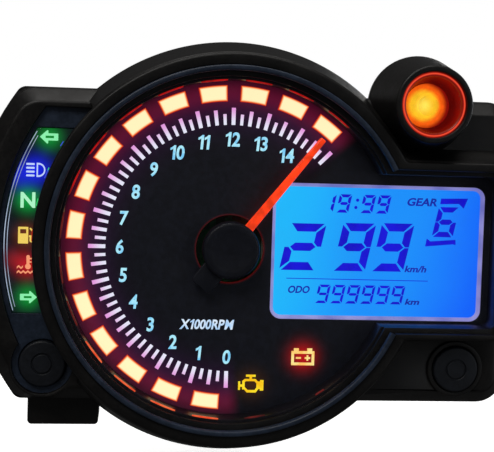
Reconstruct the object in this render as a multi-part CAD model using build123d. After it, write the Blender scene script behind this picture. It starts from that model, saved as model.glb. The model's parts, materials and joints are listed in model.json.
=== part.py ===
from build123d import *
from math import acos, cos, degrees, pi, radians, sin, tan
import os

# Motorcycle instrument cluster: a round tachometer with a wide LCD, an arc of tell-tales in the
# left wing, two push buttons and a shift lamp. Millimetres. +X is the rider's right, +Z is up and
# the rider looks along +Y. The origin is where the dial axis meets the rear mounting face.
# "Height" means the distance forward of that rear face, so a height h lies at Y = -h.

# ---------------------------------------------------------------- fits
FIT = 0.10              # gap between two pieces that are assembled face to face
SEAT = 0.05             # gap under a piece that rests on another
RUN = 0.05              # radial gap of a turning shaft
BUTTON_GAP = 0.25       # radial gap round a button

# ---------------------------------------------------------------- case
LEFT_R = 73.0           # left wing's outer arc, about the dial axis
RIGHT_X = 81.0          # right wing's edge
HALF_H = 43.5           # half the height of the wings
LEFT_CORNER = 3.0
RIGHT_CORNER = 8.0
HOOD_R = 57.7           # hood at the parting plane
HOOD_LIP_R = 53.8       # hood at its front
WALL = 2.4
DRAFT = 1.6             # how far the rear cover draws in by its rear face
REAR_CHAMFER = 1.5
PARTING = 22.6          # height of the parting plane
WING_TOP = 28.5         # height of the wings' front face
WING_ROOF = 25.2        # height of the underside of the wings' front wall
WING_EDGE = 24.6        # where the wings' front chamfer starts
WING_CHAMFER = 4.2
HOOD_TOP = 36.8
HOOD_EDGE = 0.8
HOOD_BORE = 52.0        # inside radius of the hood
LENS_SEAT = 34.75       # height of the ledge that carries the lens
LEDGE = 1.55
LENS_T = 1.4
BEZEL_T = 1.75
BEZEL_R_IN = 49.0
LENS_R = 50.5
LENS_RIGHT = 76.0
LENS_LOW = -21.5
LENS_HIGH = 23.5
LENS_CORNER = 2.5
WELL_R = 46.8           # inside radius of the wall round the dial
WELL_OUT_R = 48.5
LEDGE_R = 47.6
LEDGE_RIM = 1.3         # width of the ledge along the straight sides
WELL_WALL = 1.7

# ---------------------------------------------------------------- right wing's raised LCD surround
BLOCK_LEFT = 30.0
BLOCK_BASE = (80.8, -24.4, 29.7)    # right, bottom and top edges where it meets the wing
BLOCK_FACE = (79.3, -23.4, 26.0)    # the same at its front
BLOCK_CORNER = 3.0

# ---------------------------------------------------------------- dial
DIAL = 26.0             # height of the dial's face
DIAL_T = 1.0
HUB_HOLE_R = 9.5
SEGMENTS = 15
SEG_START = 180.0       # clockwise from the top
SEG_PITCH = 15.0
SEG_WIDTH = 10.2
SEG_IN = 41.1
SEG_OUT = 45.6
BOX_IN = 39.3
BOX_OUT = 47.9
GUIDE_R = 39.0
GUIDE_T = 1.9
TELLTALES = [(7.1, -38.2), (21.7, -30.2)]
TELLTALE_W = 9.2
TELLTALE_H = 7.2
THIN_WALL = 0.9

# ---------------------------------------------------------------- LCD
LCD_LEFT, LCD_RIGHT = 11.8, 72.7
LCD_LOW, LCD_HIGH = -19.5, 19.0
LCD_CUT = 5.5           # diagonal corner of the window, beside the needle
LCD_ROUND = 3.2
GLASS_MARGIN = 0.8
GLASS_T = 2.4
BACKLIGHT_T = 2.7
FRAME_WALL = 1.1
LCD_PINS = 20
LCD_PIN_PITCH = 2.54

# ---------------------------------------------------------------- board
BOARD_LOW = 16.0
BOARD_T = 1.6
BOARD_R = 52.0
BOARD_LEFT = 66.0
BOARD_LEFT_R = 68.0
BOARD_RIGHT = 76.2
BOARD_EDGE = 6.2        # from the case's lower edge to the board
BOARD_TOP = BOARD_LOW + BOARD_T
LED_T = 1.2

# ---------------------------------------------------------------- tell-tale arc in the left wing
ARC_IN = 53.95
ARC_OUT = 62.6
ARC_LOW = -19.0
ARC_HIGH = 32.3
RECESS_OUT = 63.8
RECESS_HIGH = 38.0
RECESS_LOW = -30.0
RECESS_FLOOR = 26.8
HOOD_TRIM_R = 53.85     # the hood's side is upright where the tell-tale arc runs beside it
ARC_LENS_T = 1.5
ARC_LENS_TOP = 27.9
FILM_T = 0.4
ICONS = 6
ICON_TOP_ANGLE = 300.5
ICON_PITCH = 9.04
ICON_R = 57.6

# ---------------------------------------------------------------- buttons
CAP_R = 6.4
DIMPLE_R = 3.0
DIMPLE = 0.4
KEYHOLE_R = CAP_R + 2.0
BOSS_R = CAP_R + 1.6
BOSS_TOP = 29.2
LEFT_CAP_TOP = 28.5
RIGHT_CAP_TOP = 30.2
FLANGE_R = CAP_R + 0.8
BUTTON_Z = WALL + FLANGE_R + 1.2 - HALF_H
LEFT_BUTTON = (-((LEFT_R - WALL - FLANGE_R - 2.7) ** 2 - BUTTON_Z**2) ** 0.5, BUTTON_Z)
RIGHT_BUTTON = (RIGHT_X - FLANGE_R - 8.7, BUTTON_Z)
FLANGE_LOW = 23.6
FLANGE_HIGH = 24.9
TRAVEL = 1.0
SWITCH_SIZE = 6.0
SWITCH_T = 3.5
PLUNGER_R = 1.6
PLUNGER_TOP = 22.3
SEAL_OUT_R = FLANGE_R + 0.2
SEAL_T = 0.6

# ---------------------------------------------------------------- shift lamp
LAMP = (52.6, 41.4)
LAMP_R = 14.4
LAMP_LOW = 19.8
LAMP_HIGH = 42.5
LAMP_RIM_R = 10.1
LAMP_BORE = 8.9
LAMP_SHELF_R = 8.3
LAMP_SHELF = 39.8
LAMP_CAVITY_R = 9.0
LAMP_FLOOR = 23.4
LAMP_BOARD_LOW = 28.0
LAMP_RING_IN = 7.6
DOME_R = 6.1
LAMP_SCREW_SPREAD = 6.5
LAMP_SCREW_DROP = 5.4

# ---------------------------------------------------------------- needle
NEEDLE_ANGLE = 38.4     # clockwise from the top, at rest
HUB_R = 7.9
HUB_LOW = 26.9
HUB_HIGH = 32.6
HUB_WALL = 1.0
HUB_ROOF = 1.6
NEEDLE_LOW = 29.0
NEEDLE_T = 1.7
NEEDLE_R = 40.0
NEEDLE_W0 = 2.6
NEEDLE_W1 = 1.7
TAIL_R = 13.4
TAIL_W = 6.7
SHAFT_R = 0.75
SHAFT_TOP = 30.7

# ---------------------------------------------------------------- gauge motor
MOTOR_LOW = BOARD_LOW - 8.8
MOTOR_WALL = 1.0
MOTOR_HALF_W = 12.0
MOTOR_TOP_Z = 9.8
MOTOR_LOW_Z = -23.6
PRESSURE = 30.0         # pressure angle of the small plastic gears
OUT_TEETH, MID_PINION_TEETH, OUT_MODULE = 40, 10, 0.40
MID_TEETH, ROTOR_TEETH, MID_MODULE = 36, 9, 0.35
BACKLASH = 0.09
ADDENDUM = 0.85
DEDENDUM = 1.20
OUT_GEAR = (BOARD_LOW - 3.1, BOARD_LOW - 1.5)
MID_WHEEL = (BOARD_LOW - 5.1, BOARD_LOW - 3.5)
MAGNET = (BOARD_LOW - 7.2, BOARD_LOW - 5.6)
MAGNET_R = 3.0
STATOR_GAP = 0.4
PIVOT_R = 0.5
PIVOT_DEPTH = 0.6
COIL_LENGTH = 4.6

# ---------------------------------------------------------------- connector
CONN_LOW = -HALF_H - 7.9
CONN_HIGH = -HALF_H + DRAFT + WALL + 1.5
CONN_WIDTH = 19.9
CONN_LEFT = 2.0 - ((LEFT_R - DRAFT - WALL) ** 2 - CONN_HIGH**2) ** 0.5     # just inside the left arc
CONN_RIGHT = CONN_LEFT + CONN_WIDTH
CONN_REAR, CONN_FRONT = BOARD_LOW - 7.6, BOARD_LOW + 4.4
CONN_WALL = 1.4
CONN_FLOOR = 1.8
CONN_ROUND = 1.2
CONN_FLANGE = 0.8
PIN_COLUMNS = 6
PIN_PITCH = 2.54
PIN = 0.64
PIN_TIP = -HALF_H - 1.5
# each row's height in the socket and its Z at the board
PIN_ROWS = [(BOARD_LOW - 1.6, CONN_HIGH + 1.4), (BOARD_LOW - 4.4, CONN_HIGH + 9.4)]

# ---------------------------------------------------------------- fasteners
STUD_PCD = 70.0
STUDS = 3
STUD_R = 2.5
STUD_LENGTH = 12.0
STUD_COLLAR_R = 3.0     # pressed into the rear wall
STUD_HEAD_R = 5.0
STUD_HEAD_T = 2.0
STUD_PAD_R = 7.5
RELIEF = 0.8            # depth of the shallow field between the pads of the rear face
RELIEF_RIM = 3.0
SCREW_R = 1.25
SCREW_HEAD_R = 2.5
SCREW_HEAD_T = 1.75
POST_NECK = BOARD_LOW - 1.5
SCREW_SEAT = POST_NECK - 1.5
SCREW_END = 25.8
HOOD_SCREW_R = 51.2
CASE_SCREWS = [
    (0, HOOD_SCREW_R),
    (0, -HOOD_SCREW_R),
    (-54.0, 36.8),
    (-62.6, -23.6),
    (RIGHT_X - 6.6, HALF_H - 6.6),
    (RIGHT_X - 6.6, 6.6 - HALF_H),
    (46.5, 6.7 - HALF_H),
]
POST_R = 4.0
POST_NECK_R = 2.6
BOARD_SCREWS = [(-26.0, 22.0), (-20.0, -29.0), (14.0, 30.0), (33.0, -31.0), (70.0, 24.2)]
BOARD_SCREW_R = 1.0
BOARD_HEAD_R = 2.1
BOARD_HEAD_T = 1.5
BOARD_POST_R = 3.0


# ================================================================ helpers
def slab(sketch, low, high):
    """A sketch drawn as seen by the rider, filled between two heights."""
    return extrude(Plane.XZ.offset(low) * sketch, high - low)


def disc(radius, low, high, at=(0, 0)):
    """A round bar along the dial axis direction."""
    return slab(Pos(at[0], at[1]) * Circle(radius), low, high)


def ring(outer, inner, low, high, at=(0, 0)):
    """A round tube along the dial axis direction."""
    return slab(Pos(at[0], at[1]) * (Circle(outer) - Circle(inner)), low, high)


def area(left, right, low, high):
    """A plain rectangle given by its edges."""
    return Pos((left + right) / 2, (low + high) / 2) * Rectangle(right - left, high - low)


def turned(profile, at=(0, 0)):
    """A solid turned about an axis parallel to the dial axis, from (radius, height) points."""
    outline = Polyline(*[(r, -h) for r, h in profile], close=True)
    return Pos(at[0], 0, at[1]) * revolve(make_face(outline), Axis.Y)


def polar(radius, clockwise):
    """A point at a clock angle from the top."""
    return (radius * sin(radians(clockwise)), radius * cos(radians(clockwise)))


def sector(inner, outer, start, end):
    """The part of a flat ring between two clock angles."""
    middle = (start + end) / 2
    edges = [
        Line(polar(inner, start), polar(outer, start)),
        ThreePointArc(polar(outer, start), polar(outer, middle), polar(outer, end)),
        Line(polar(outer, end), polar(inner, end)),
        ThreePointArc(polar(inner, end), polar(inner, middle), polar(inner, start)),
    ]
    return make_face(edges)


def fused(shapes):
    """One solid from shapes that meet."""
    total = shapes[0]
    for shape in shapes[1:]:
        total = total + shape
    return total


def spread(shapes):
    """Separate solids kept side by side in one node."""
    return Compound(children=[shape.solid() for shape in shapes])


# ================================================================ case outlines
def left_wing(inset):
    reach = LEFT_R + 10
    window = Pos(5 - reach / 2, 0) * Rectangle(reach, 2 * (HALF_H - inset))
    outline = Circle(LEFT_R - inset) & window
    return fillet(outline.vertices().sort_by(Axis.X)[:2], LEFT_CORNER)


def right_wing(inset):
    width = RIGHT_X - inset
    outline = Pos(width / 2, 0) * Rectangle(width, 2 * (HALF_H - inset))
    return fillet(outline.vertices().sort_by(Axis.X)[-2:], RIGHT_CORNER - inset)


def hood(inset):
    return Circle(HOOD_R - inset)


def stage(outlines, low, high, inset_low, inset_high):
    """The outlines blended straight from one inset to another between two heights."""
    pieces = []
    for outline in outlines:
        bottom = Plane.XZ.offset(low) * outline(inset_low)
        top = Plane.XZ.offset(high) * outline(inset_high)
        pieces.append(loft([bottom.face(), top.face()], ruled=True))
    return fused(pieces)


WINGS = [left_wing, right_wing]
WHOLE = [hood, left_wing, right_wing]


def case_outline(inset):
    return hood(inset) + left_wing(inset) + right_wing(inset)


def dial_outline(radius, margin):
    """The dial opening: a circle with the LCD's rectangle running out to the right."""
    tongue = area(0, LENS_RIGHT - margin, LENS_LOW + margin, LENS_HIGH - margin)
    tongue = fillet(tongue.vertices().sort_by(Axis.X)[-2:], LENS_CORNER)
    return Circle(radius) + tongue


def lamp_space(gap, low=None):
    start = LAMP_LOW - gap if low is None else low
    return disc(LAMP_R + gap, start, LAMP_HIGH + 10, LAMP)


# ================================================================ rear cover
def rear_relief():
    """The shallow field of the rear face, clear of its rim, the studs' pads and the screws."""
    field = case_outline(DRAFT + REAR_CHAMFER + RELIEF_RIM)
    for spot in stud_spots():
        field = field - Pos(*spot) * Circle(STUD_PAD_R)
    for spot in CASE_SCREWS + lamp_screw_spots():
        field = field - Pos(*spot) * Circle(POST_R + 0.8)
    return field


def rear_cover():
    outer = stage(WHOLE, 0, REAR_CHAMFER, DRAFT + REAR_CHAMFER, DRAFT)
    outer = outer + stage(WHOLE, REAR_CHAMFER, PARTING, DRAFT, 0)
    cavity = stage(WHOLE, WALL, PARTING, DRAFT + WALL, WALL)
    posts = []
    for spot in CASE_SCREWS:
        posts.append(disc(POST_R, 0, POST_NECK, spot) & outer)
        posts.append(disc(POST_NECK_R, POST_NECK, PARTING - SEAT, spot))
    for spot in BOARD_SCREWS:
        posts.append(disc(BOARD_POST_R, WALL / 2, BOARD_LOW - SEAT, spot))
    for spot in lamp_screw_spots():
        posts.append(disc(POST_R, WALL / 2, LAMP_LOW - 2 * FIT, spot))
    body = fused([outer - cavity] + posts)
    for spot in CASE_SCREWS + lamp_screw_spots():
        body = body - disc(SCREW_HEAD_R + BUTTON_GAP, -1, SCREW_SEAT, spot)
        body = body - disc(SCREW_R + BUTTON_GAP, SCREW_SEAT - 1, PARTING + 1, spot)
    for spot in BOARD_SCREWS:
        body = body - disc(BOARD_SCREW_R + RUN, BOARD_LOW - 8, BOARD_LOW + 1, spot)
    for spot in stud_spots():
        body = body - disc(STUD_COLLAR_R + RUN, -1, WALL + 1, spot)
    body = body - slab(rear_relief(), -1, RELIEF)
    groove = case_outline(0.8) - case_outline(1.8)
    body = body - slab(groove, PARTING - 0.8, PARTING + 1)
    body = body - lamp_space(FIT + SEAT)
    slot = area(CONN_LEFT - FIT, CONN_RIGHT + FIT, -HALF_H - 5, CONN_HIGH - 1)
    return body - slab(slot, CONN_REAR - FIT, CONN_FRONT + FIT)


def case_seal():
    strip = case_outline(0.8 + SEAT) - case_outline(1.8 - SEAT)
    return slab(strip, PARTING - 0.8 + SEAT, PARTING) - lamp_space(2 * FIT)


# ================================================================ front cover
def hood_radius(height):
    """The hood's outer radius on its straight flank."""
    rise = (height - PARTING) / (HOOD_TOP - PARTING)
    return HOOD_R + (HOOD_LIP_R - HOOD_R) * rise


def lcd_block():
    faces = []
    for height, (right, low, high) in [(WING_TOP - FIT, BLOCK_BASE), (HOOD_TOP, BLOCK_FACE)]:
        shape = area(BLOCK_LEFT, right, low, high)
        shape = fillet(shape.vertices(), BLOCK_CORNER)
        faces.append((Plane.XZ.offset(height) * shape).face())
    return loft(faces, ruled=True)


def arc_window(inner, outer, low, high):
    """The tell-tale arc: part of a ring, cut off level at both ends."""
    return (Circle(outer) - Circle(inner)) & area(-LEFT_R, 0, low, high)


def front_cover():
    base = PARTING + SEAT
    body = stage(WINGS, base, WING_EDGE, 0, 0.3)
    body = body + stage(WINGS, WING_EDGE, WING_TOP, 0.3, WING_CHAMFER)
    edge = HOOD_TOP - HOOD_EDGE
    profile = [(0, base), (HOOD_R, base), (hood_radius(edge), edge)]
    profile += [(HOOD_LIP_R - HOOD_EDGE, HOOD_TOP), (0, HOOD_TOP)]
    body = body + turned(profile)
    body = body + lcd_block()
    body = body + disc(BOSS_R, WING_TOP - 1, BOSS_TOP, RIGHT_BUTTON)
    # inside
    for outline in WINGS:
        body = body - slab(outline(WALL + 0.3), PARTING - 1, WING_ROOF)
    body = body - disc(HOOD_BORE, PARTING - 1, LENS_SEAT - LEDGE)
    room = dial_outline(HOOD_BORE, -1.0)
    body = body - slab(room, PARTING - 1, LENS_SEAT - LEDGE)
    # lens seat
    body = body - slab(dial_outline(LEDGE_R, LEDGE_RIM), WING_ROOF, HOOD_TOP + 5)
    body = body - slab(dial_outline(LENS_R + FIT, -FIT), LENS_SEAT, HOOD_TOP + 5)
    # screw bosses
    for spot in CASE_SCREWS:
        on_hood = abs(spot[0]) < 1
        top = LENS_SEAT - 1 if on_hood else WING_ROOF + 0.5
        radius = POST_NECK_R
        body = body + disc(radius, base, top, spot)
        body = body - disc(SCREW_R + RUN, PARTING - 1, SCREW_END + 0.3, spot)
    # recess and window of the tell-tale arc
    keyhole = Pos(*LEFT_BUTTON) * Circle(KEYHOLE_R)
    recess = arc_window(HOOD_TRIM_R, RECESS_OUT, RECESS_LOW, RECESS_HIGH)
    recess = recess + (keyhole - Circle(HOOD_TRIM_R))
    body = body - slab(recess, RECESS_FLOOR, HOOD_TOP + 5)
    window = arc_window(ARC_IN, ARC_OUT, ARC_LOW, ARC_HIGH)
    body = body - slab(window, WING_ROOF - 1, RECESS_FLOOR + 1)
    # button holes
    for spot in [LEFT_BUTTON, RIGHT_BUTTON]:
        body = body - disc(CAP_R + BUTTON_GAP, WING_ROOF - 1, BOSS_TOP + 5, spot)
        body = body - disc(SEAL_OUT_R + SEAT, WING_ROOF - 1, WING_ROOF + SEAL_T + FIT, spot)
    return body - lamp_space(FIT + SEAT, PARTING - 1)


# ================================================================ lens, bezel and dial
def dial_lens():
    return slab(dial_outline(LENS_R, 0), LENS_SEAT + SEAT, LENS_SEAT + SEAT + LENS_T)


def bezel_ring():
    low = LENS_SEAT + 2 * SEAT + LENS_T
    gap = area(0, LENS_R + 5, LENS_LOW - FIT, LENS_HIGH + FIT)
    open_ring = (Circle(LENS_R) - Circle(BEZEL_R_IN)) - gap
    return slab(open_ring, low, low + BEZEL_T)


def dial_surround():
    outer = dial_outline(WELL_OUT_R, -0.6)
    inner = dial_outline(WELL_R, LEDGE_RIM + SEAT)
    return slab(outer - inner, DIAL + SEAT, LENS_SEAT - LEDGE - SEAT)


def segment_angle(index):
    return SEG_START + SEG_PITCH * (index + 0.5)


def lcd_window():
    shape = area(LCD_LEFT, LCD_RIGHT, LCD_LOW, LCD_HIGH)
    corners = shape.vertices().sort_by(Axis.X)
    top_left = corners[:2].sort_by(Axis.Y)[-1]
    rest = [corner for corner in corners if corner != top_left]
    shape = fillet(rest, LCD_ROUND)
    corner = Pos(LCD_LEFT, LCD_HIGH) * Rot(0, 0, 45) * Rectangle(LCD_CUT, LCD_CUT * 3)
    return shape - corner


def dial_plate():
    face = dial_outline(WELL_OUT_R, -0.6) - Circle(HUB_HOLE_R) - lcd_window()
    half = SEG_WIDTH / 2 + FIT
    for index in range(SEGMENTS):
        middle = segment_angle(index)
        face = face - sector(SEG_IN - SEAT, SEG_OUT + SEAT, middle - half, middle + half)
    return slab(face, DIAL - DIAL_T, DIAL)


def segment_light_box():
    end = SEG_START + SEG_PITCH * SEGMENTS
    face = sector(BOX_IN, BOX_OUT, SEG_START - 1.2, end + 1.2)
    half = SEG_WIDTH / 2 + 2 * FIT
    for index in range(SEGMENTS):
        middle = segment_angle(index)
        face = face - sector(SEG_IN - FIT, SEG_OUT + FIT, middle - half, middle + half)
    return slab(face, BOARD_TOP + FIT, DIAL - DIAL_T - FIT)


def segment_light_guides():
    bars = []
    for index in range(SEGMENTS):
        middle = segment_angle(index)
        face = sector(SEG_IN, SEG_OUT, middle - SEG_WIDTH / 2, middle + SEG_WIDTH / 2)
        bars.append(slab(face, BOARD_TOP + LED_T + SEAT, DIAL))
    return spread(bars)


def led(spot, clockwise=0.0, width=3.0, depth=2.6):
    turn = Pos(spot[0], spot[1]) * Rot(0, 0, -clockwise)
    base = slab(turn * Rectangle(width, depth), BOARD_TOP, BOARD_TOP + LED_T - 0.3)
    window = slab(turn * Rectangle(width - 0.6, depth - 0.6), BOARD_TOP + 0.5, BOARD_TOP + LED_T)
    return base + window


def segment_leds():
    middle_r = (SEG_IN + SEG_OUT) / 2
    angles = [segment_angle(index) for index in range(SEGMENTS)]
    return spread([led(polar(middle_r, angle), angle) for angle in angles])


def dial_leds():
    return spread([led(spot) for spot in [(-18, 8), (-18, -10), (-5, 22), (-4, -28)]])


def dial_light_guide():
    low = DIAL - DIAL_T - FIT - GUIDE_T
    face = Circle(GUIDE_R) - Circle(HUB_HOLE_R + 0.5)
    face = face - lcd_area(GLASS_MARGIN + FRAME_WALL + 3 * FIT)
    face = face - area(0, GUIDE_R, -HUB_HOLE_R, HUB_HOLE_R)
    for x, z in TELLTALES:
        face = face - Pos(x, z) * Rectangle(TELLTALE_W + 4 * FIT, TELLTALE_H + 4 * FIT)
    sheet = slab(face, low, low + GUIDE_T)
    keep = sheet.solids().sort_by(SortBy.VOLUME)[-1]
    feet = [disc(1.2, BOARD_TOP + SEAT, low + 0.5, spot) for spot in [(-34, 0), (-8, -34), (-8, 34)]]
    return fused([keep] + feet)


def telltale_light_boxes():
    boxes = []
    for x, z in TELLTALES:
        outer = Rectangle(TELLTALE_W, TELLTALE_H)
        inner = Rectangle(TELLTALE_W - 2 * THIN_WALL, TELLTALE_H - 2 * THIN_WALL)
        boxes.append(slab(Pos(x, z) * (outer - inner), BOARD_TOP + FIT, DIAL - DIAL_T - FIT))
    return spread(boxes)


# ================================================================ LCD module
def lcd_area(margin):
    return area(LCD_LEFT - margin, LCD_RIGHT + margin, LCD_LOW - margin, LCD_HIGH + margin)


GLASS_TOP = DIAL - DIAL_T - 2 * FIT


def lcd_glass():
    return slab(lcd_area(GLASS_MARGIN), GLASS_TOP - GLASS_T, GLASS_TOP)


def lcd_backlight():
    high = GLASS_TOP - GLASS_T - SEAT
    return slab(lcd_area(GLASS_MARGIN - SEAT), high - BACKLIGHT_T, high)


def lcd_frame():
    outer = lcd_area(GLASS_MARGIN + FRAME_WALL + FIT)
    inner = lcd_area(GLASS_MARGIN + FIT)
    pin_bay = area(LCD_LEFT, LCD_RIGHT, LCD_LOW - GLASS_MARGIN - 0.75, LCD_LOW)
    wall = slab(outer - inner - pin_bay, BOARD_TOP + FIT, GLASS_TOP)
    high = GLASS_TOP - GLASS_T - BACKLIGHT_T - 2 * SEAT
    shelf_edge = inner - lcd_area(GLASS_MARGIN - 1.5) - pin_bay
    return wall + slab(shelf_edge, BOARD_TOP + FIT, high)


def lcd_pin_spots():
    first = (LCD_LEFT + LCD_RIGHT) / 2 - LCD_PIN_PITCH * (LCD_PINS - 1) / 2
    return [(first + LCD_PIN_PITCH * index, LCD_LOW - GLASS_MARGIN - 0.3) for index in range(LCD_PINS)]


def lcd_pins():
    pins = []
    for spot in lcd_pin_spots():
        pins.append(slab(Pos(*spot) * Rectangle(0.6, 0.3), BOARD_LOW - 0.6, GLASS_TOP - 0.6))
    return spread(pins)


# ================================================================ board and its parts
def connector_pin_columns():
    first = (CONN_LEFT + CONN_RIGHT) / 2 - PIN_PITCH * (PIN_COLUMNS - 1) / 2
    return [first + PIN_PITCH * index for index in range(PIN_COLUMNS)]


def motor_peg_spots():
    x = MOTOR_HALF_W - 2.2
    return [(-x, MOTOR_LOW_Z + 2.2), (x, MOTOR_LOW_Z + 2.2)]


def main_board():
    left = Circle(BOARD_LEFT_R) & area(-BOARD_LEFT, 0, BOARD_EDGE - HALF_H, 36.0)
    face = Circle(BOARD_R) + left + area(0, BOARD_RIGHT, BOARD_EDGE - HALF_H - 0.7, 27.0)
    for spot in CASE_SCREWS:
        face = face - Pos(*spot) * Circle(POST_NECK_R + 0.5)
    for spot in BOARD_SCREWS:
        face = face - Pos(*spot) * Circle(BOARD_SCREW_R + 0.4)
    face = face - Circle(HUB_HOLE_R / 3)
    face = face - area(CONN_LEFT - 2, CONN_RIGHT + 2, -HALF_H, CONN_HIGH + 3 * FIT)
    for spot in motor_peg_spots():
        face = face - Pos(*spot) * Circle(1.1)
    for spot in lcd_pin_spots():
        face = face - Pos(*spot) * Circle(0.5)
    for x in connector_pin_columns():
        for _, z in PIN_ROWS:
            face = face - Pos(x, z) * Circle(0.6)
    return slab(face, BOARD_LOW, BOARD_TOP)


def chip(spot, size, lead_count, height=1.4):
    """A square chip on the board's rear, with a row of leads along each side."""
    high = BOARD_LOW - SEAT
    body = slab(Pos(*spot) * Rectangle(size, size), high - height, high - 0.1)
    pitch = (size - 2) / (lead_count - 1)
    for index in range(lead_count):
        shift = -(size - 2) / 2 + pitch * index
        across = Pos(spot[0], spot[1] + shift) * Rectangle(size + 2, pitch * 0.4)
        along = Pos(spot[0] + shift, spot[1]) * Rectangle(pitch * 0.4, size + 2)
        body = body + slab(across, high - 0.3, high) + slab(along, high - 0.3, high)
    return body


def voltage_regulator():
    x, z = -48.0, 20.0
    high = BOARD_LOW - SEAT
    body = slab(area(x - 3.3, x + 3.3, z - 3.0, z + 3.0), high - 2.3, high)
    tab = slab(area(x - 2.7, x + 2.7, z + 3.0, z + 4.6), high - 0.5, high)
    legs = [slab(area(x + s - 0.4, x + s + 0.4, z - 5.4, z - 3.0), high - 0.5, high) for s in (-2.3, 2.3)]
    return fused([body, tab] + legs)


def capacitors():
    high = BOARD_LOW - SEAT
    cans = []
    for spot in [(-45.0, -6.0), (-45.0, -15.0)]:
        base = slab(Pos(*spot) * Rectangle(6.6, 6.6), high - 0.8, high)
        profile = [(0, high - 0.5), (3.15, high - 0.5), (3.15, high - 1.8), (2.85, high - 2.1)]
        profile += [(3.15, high - 2.4), (3.15, high - 5.5), (2.85, high - 5.8), (0, high - 5.8)]
        cans.append(base + turned(profile, spot))
    return spread(cans)


def connector_shroud():
    outer = area(CONN_LEFT, CONN_RIGHT, CONN_LOW, CONN_HIGH)
    outer = fillet(outer.vertices().sort_by(Axis.Y)[:2], CONN_ROUND)
    body = slab(outer, CONN_REAR, CONN_FRONT)
    inner = area(CONN_LEFT + CONN_WALL, CONN_RIGHT - CONN_WALL, CONN_LOW - 1, CONN_HIGH - CONN_FLOOR)
    body = body - slab(inner, CONN_REAR + CONN_WALL, CONN_FRONT - CONN_WALL)
    flange = area(CONN_LEFT - CONN_FLANGE, CONN_RIGHT + CONN_FLANGE, CONN_HIGH - 1.7, CONN_HIGH - 0.5)
    body = body + slab(flange, CONN_REAR - CONN_FLANGE, CONN_FRONT + CONN_FLANGE)
    body = body - slab(inner, CONN_REAR + CONN_WALL, CONN_FRONT - CONN_WALL)
    hole = PIN + 2 * RUN
    for x in connector_pin_columns():
        for height, _ in PIN_ROWS:
            slot = area(x - hole / 2, x + hole / 2, CONN_HIGH - CONN_FLOOR - 1, CONN_HIGH + 1)
            body = body - slab(slot, height - hole / 2, height + hole / 2)
    return body


def connector_pins():
    pins = []
    for x in connector_pin_columns():
        for height, z in PIN_ROWS:
            half = PIN / 2
            upright = slab(area(x - half, x + half, PIN_TIP, z + half), height - half, height + half)
            across = slab(area(x - half, x + half, z - half, z + half), height - half, BOARD_TOP + 0.8)
            pins.append(upright + across)
    return spread(pins)


# ================================================================ buttons
def button(spot, cap_top):
    shape = disc(CAP_R, FLANGE_HIGH - 0.5, cap_top, spot)
    rim = shape.edges().filter_by(GeomType.CIRCLE).sort_by(Axis.Y)[0]
    shape = fillet(rim, 0.6)
    shape = shape + disc(FLANGE_R, FLANGE_LOW, FLANGE_HIGH, spot)
    shape = shape + disc(PLUNGER_R, PLUNGER_TOP + SEAT, FLANGE_LOW + 0.5, spot)
    return shape - ring(DIMPLE_R, DIMPLE_R - 0.5, cap_top - DIMPLE, cap_top + 1, spot)


def switch_body(spot):
    high = BOARD_TOP + SWITCH_T
    shape = slab(Pos(*spot) * Rectangle(SWITCH_SIZE, SWITCH_SIZE), BOARD_TOP, high)
    pocket = disc(PLUNGER_R + FIT, high - TRAVEL - 0.7, high + 1, spot)
    for side in (-1, 1):
        leg = Pos(spot[0] + side * (SWITCH_SIZE / 2 + 0.3), spot[1]) * Rectangle(0.6, 4.6)
        shape = shape + slab(leg, BOARD_TOP, BOARD_TOP + 0.6)
    return shape - pocket


def switch_plunger(spot):
    return disc(PLUNGER_R, BOARD_TOP + SWITCH_T - 0.3, PLUNGER_TOP, spot)


def button_seals():
    low = WING_ROOF + SEAT
    rings = [ring(SEAL_OUT_R, CAP_R + FIT, low, low + SEAL_T, spot) for spot in [LEFT_BUTTON, RIGHT_BUTTON]]
    return spread(rings)


# ================================================================ tell-tale arc
def icon_angle(index):
    return ICON_TOP_ANGLE - ICON_PITCH * index


def indicator_lens():
    face = arc_window(ARC_IN + FIT, ARC_OUT - FIT, ARC_LOW + FIT, ARC_HIGH - FIT)
    return slab(face, ARC_LENS_TOP - ARC_LENS_T, ARC_LENS_TOP)


FILM_TOP = ARC_LENS_TOP - ARC_LENS_T - SEAT


def indicator_film():
    face = arc_window(ARC_IN + 3 * FIT, ARC_OUT - 3 * FIT, ARC_LOW + 3 * FIT, ARC_HIGH - 3 * FIT)
    return slab(face, FILM_TOP - FILM_T, FILM_TOP)


def indicator_light_box():
    margin = 4 * FIT
    face = arc_window(ARC_IN + margin, ARC_OUT - margin, ARC_LOW + margin, ARC_HIGH - margin)
    margin = margin + THIN_WALL
    inside = arc_window(ARC_IN + margin, ARC_OUT - margin, ARC_LOW + margin, ARC_HIGH - margin)
    half = ICON_PITCH / 2 - 0.5
    for index in range(ICONS):
        middle = icon_angle(index)
        low = middle - half - (20 if index == ICONS - 1 else 0)
        high = middle + half + (20 if index == 0 else 0)
        face = face - (sector(ARC_IN, ARC_OUT, low, high) & inside)
    return slab(face, BOARD_TOP + FIT, FILM_TOP - FILM_T - SEAT)


def indicator_leds():
    angles = [icon_angle(index) for index in range(ICONS)]
    lights = [led(polar(ICON_R, angle), angle, 2.6, 2.2) for angle in angles]
    return spread(lights + [led(spot) for spot in TELLTALES])


# ================================================================ shift lamp
def lamp_screw_spots():
    z = LAMP[1] - LAMP_SCREW_DROP
    return [(LAMP[0] - LAMP_SCREW_SPREAD, z), (LAMP[0] + LAMP_SCREW_SPREAD, z)]


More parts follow.
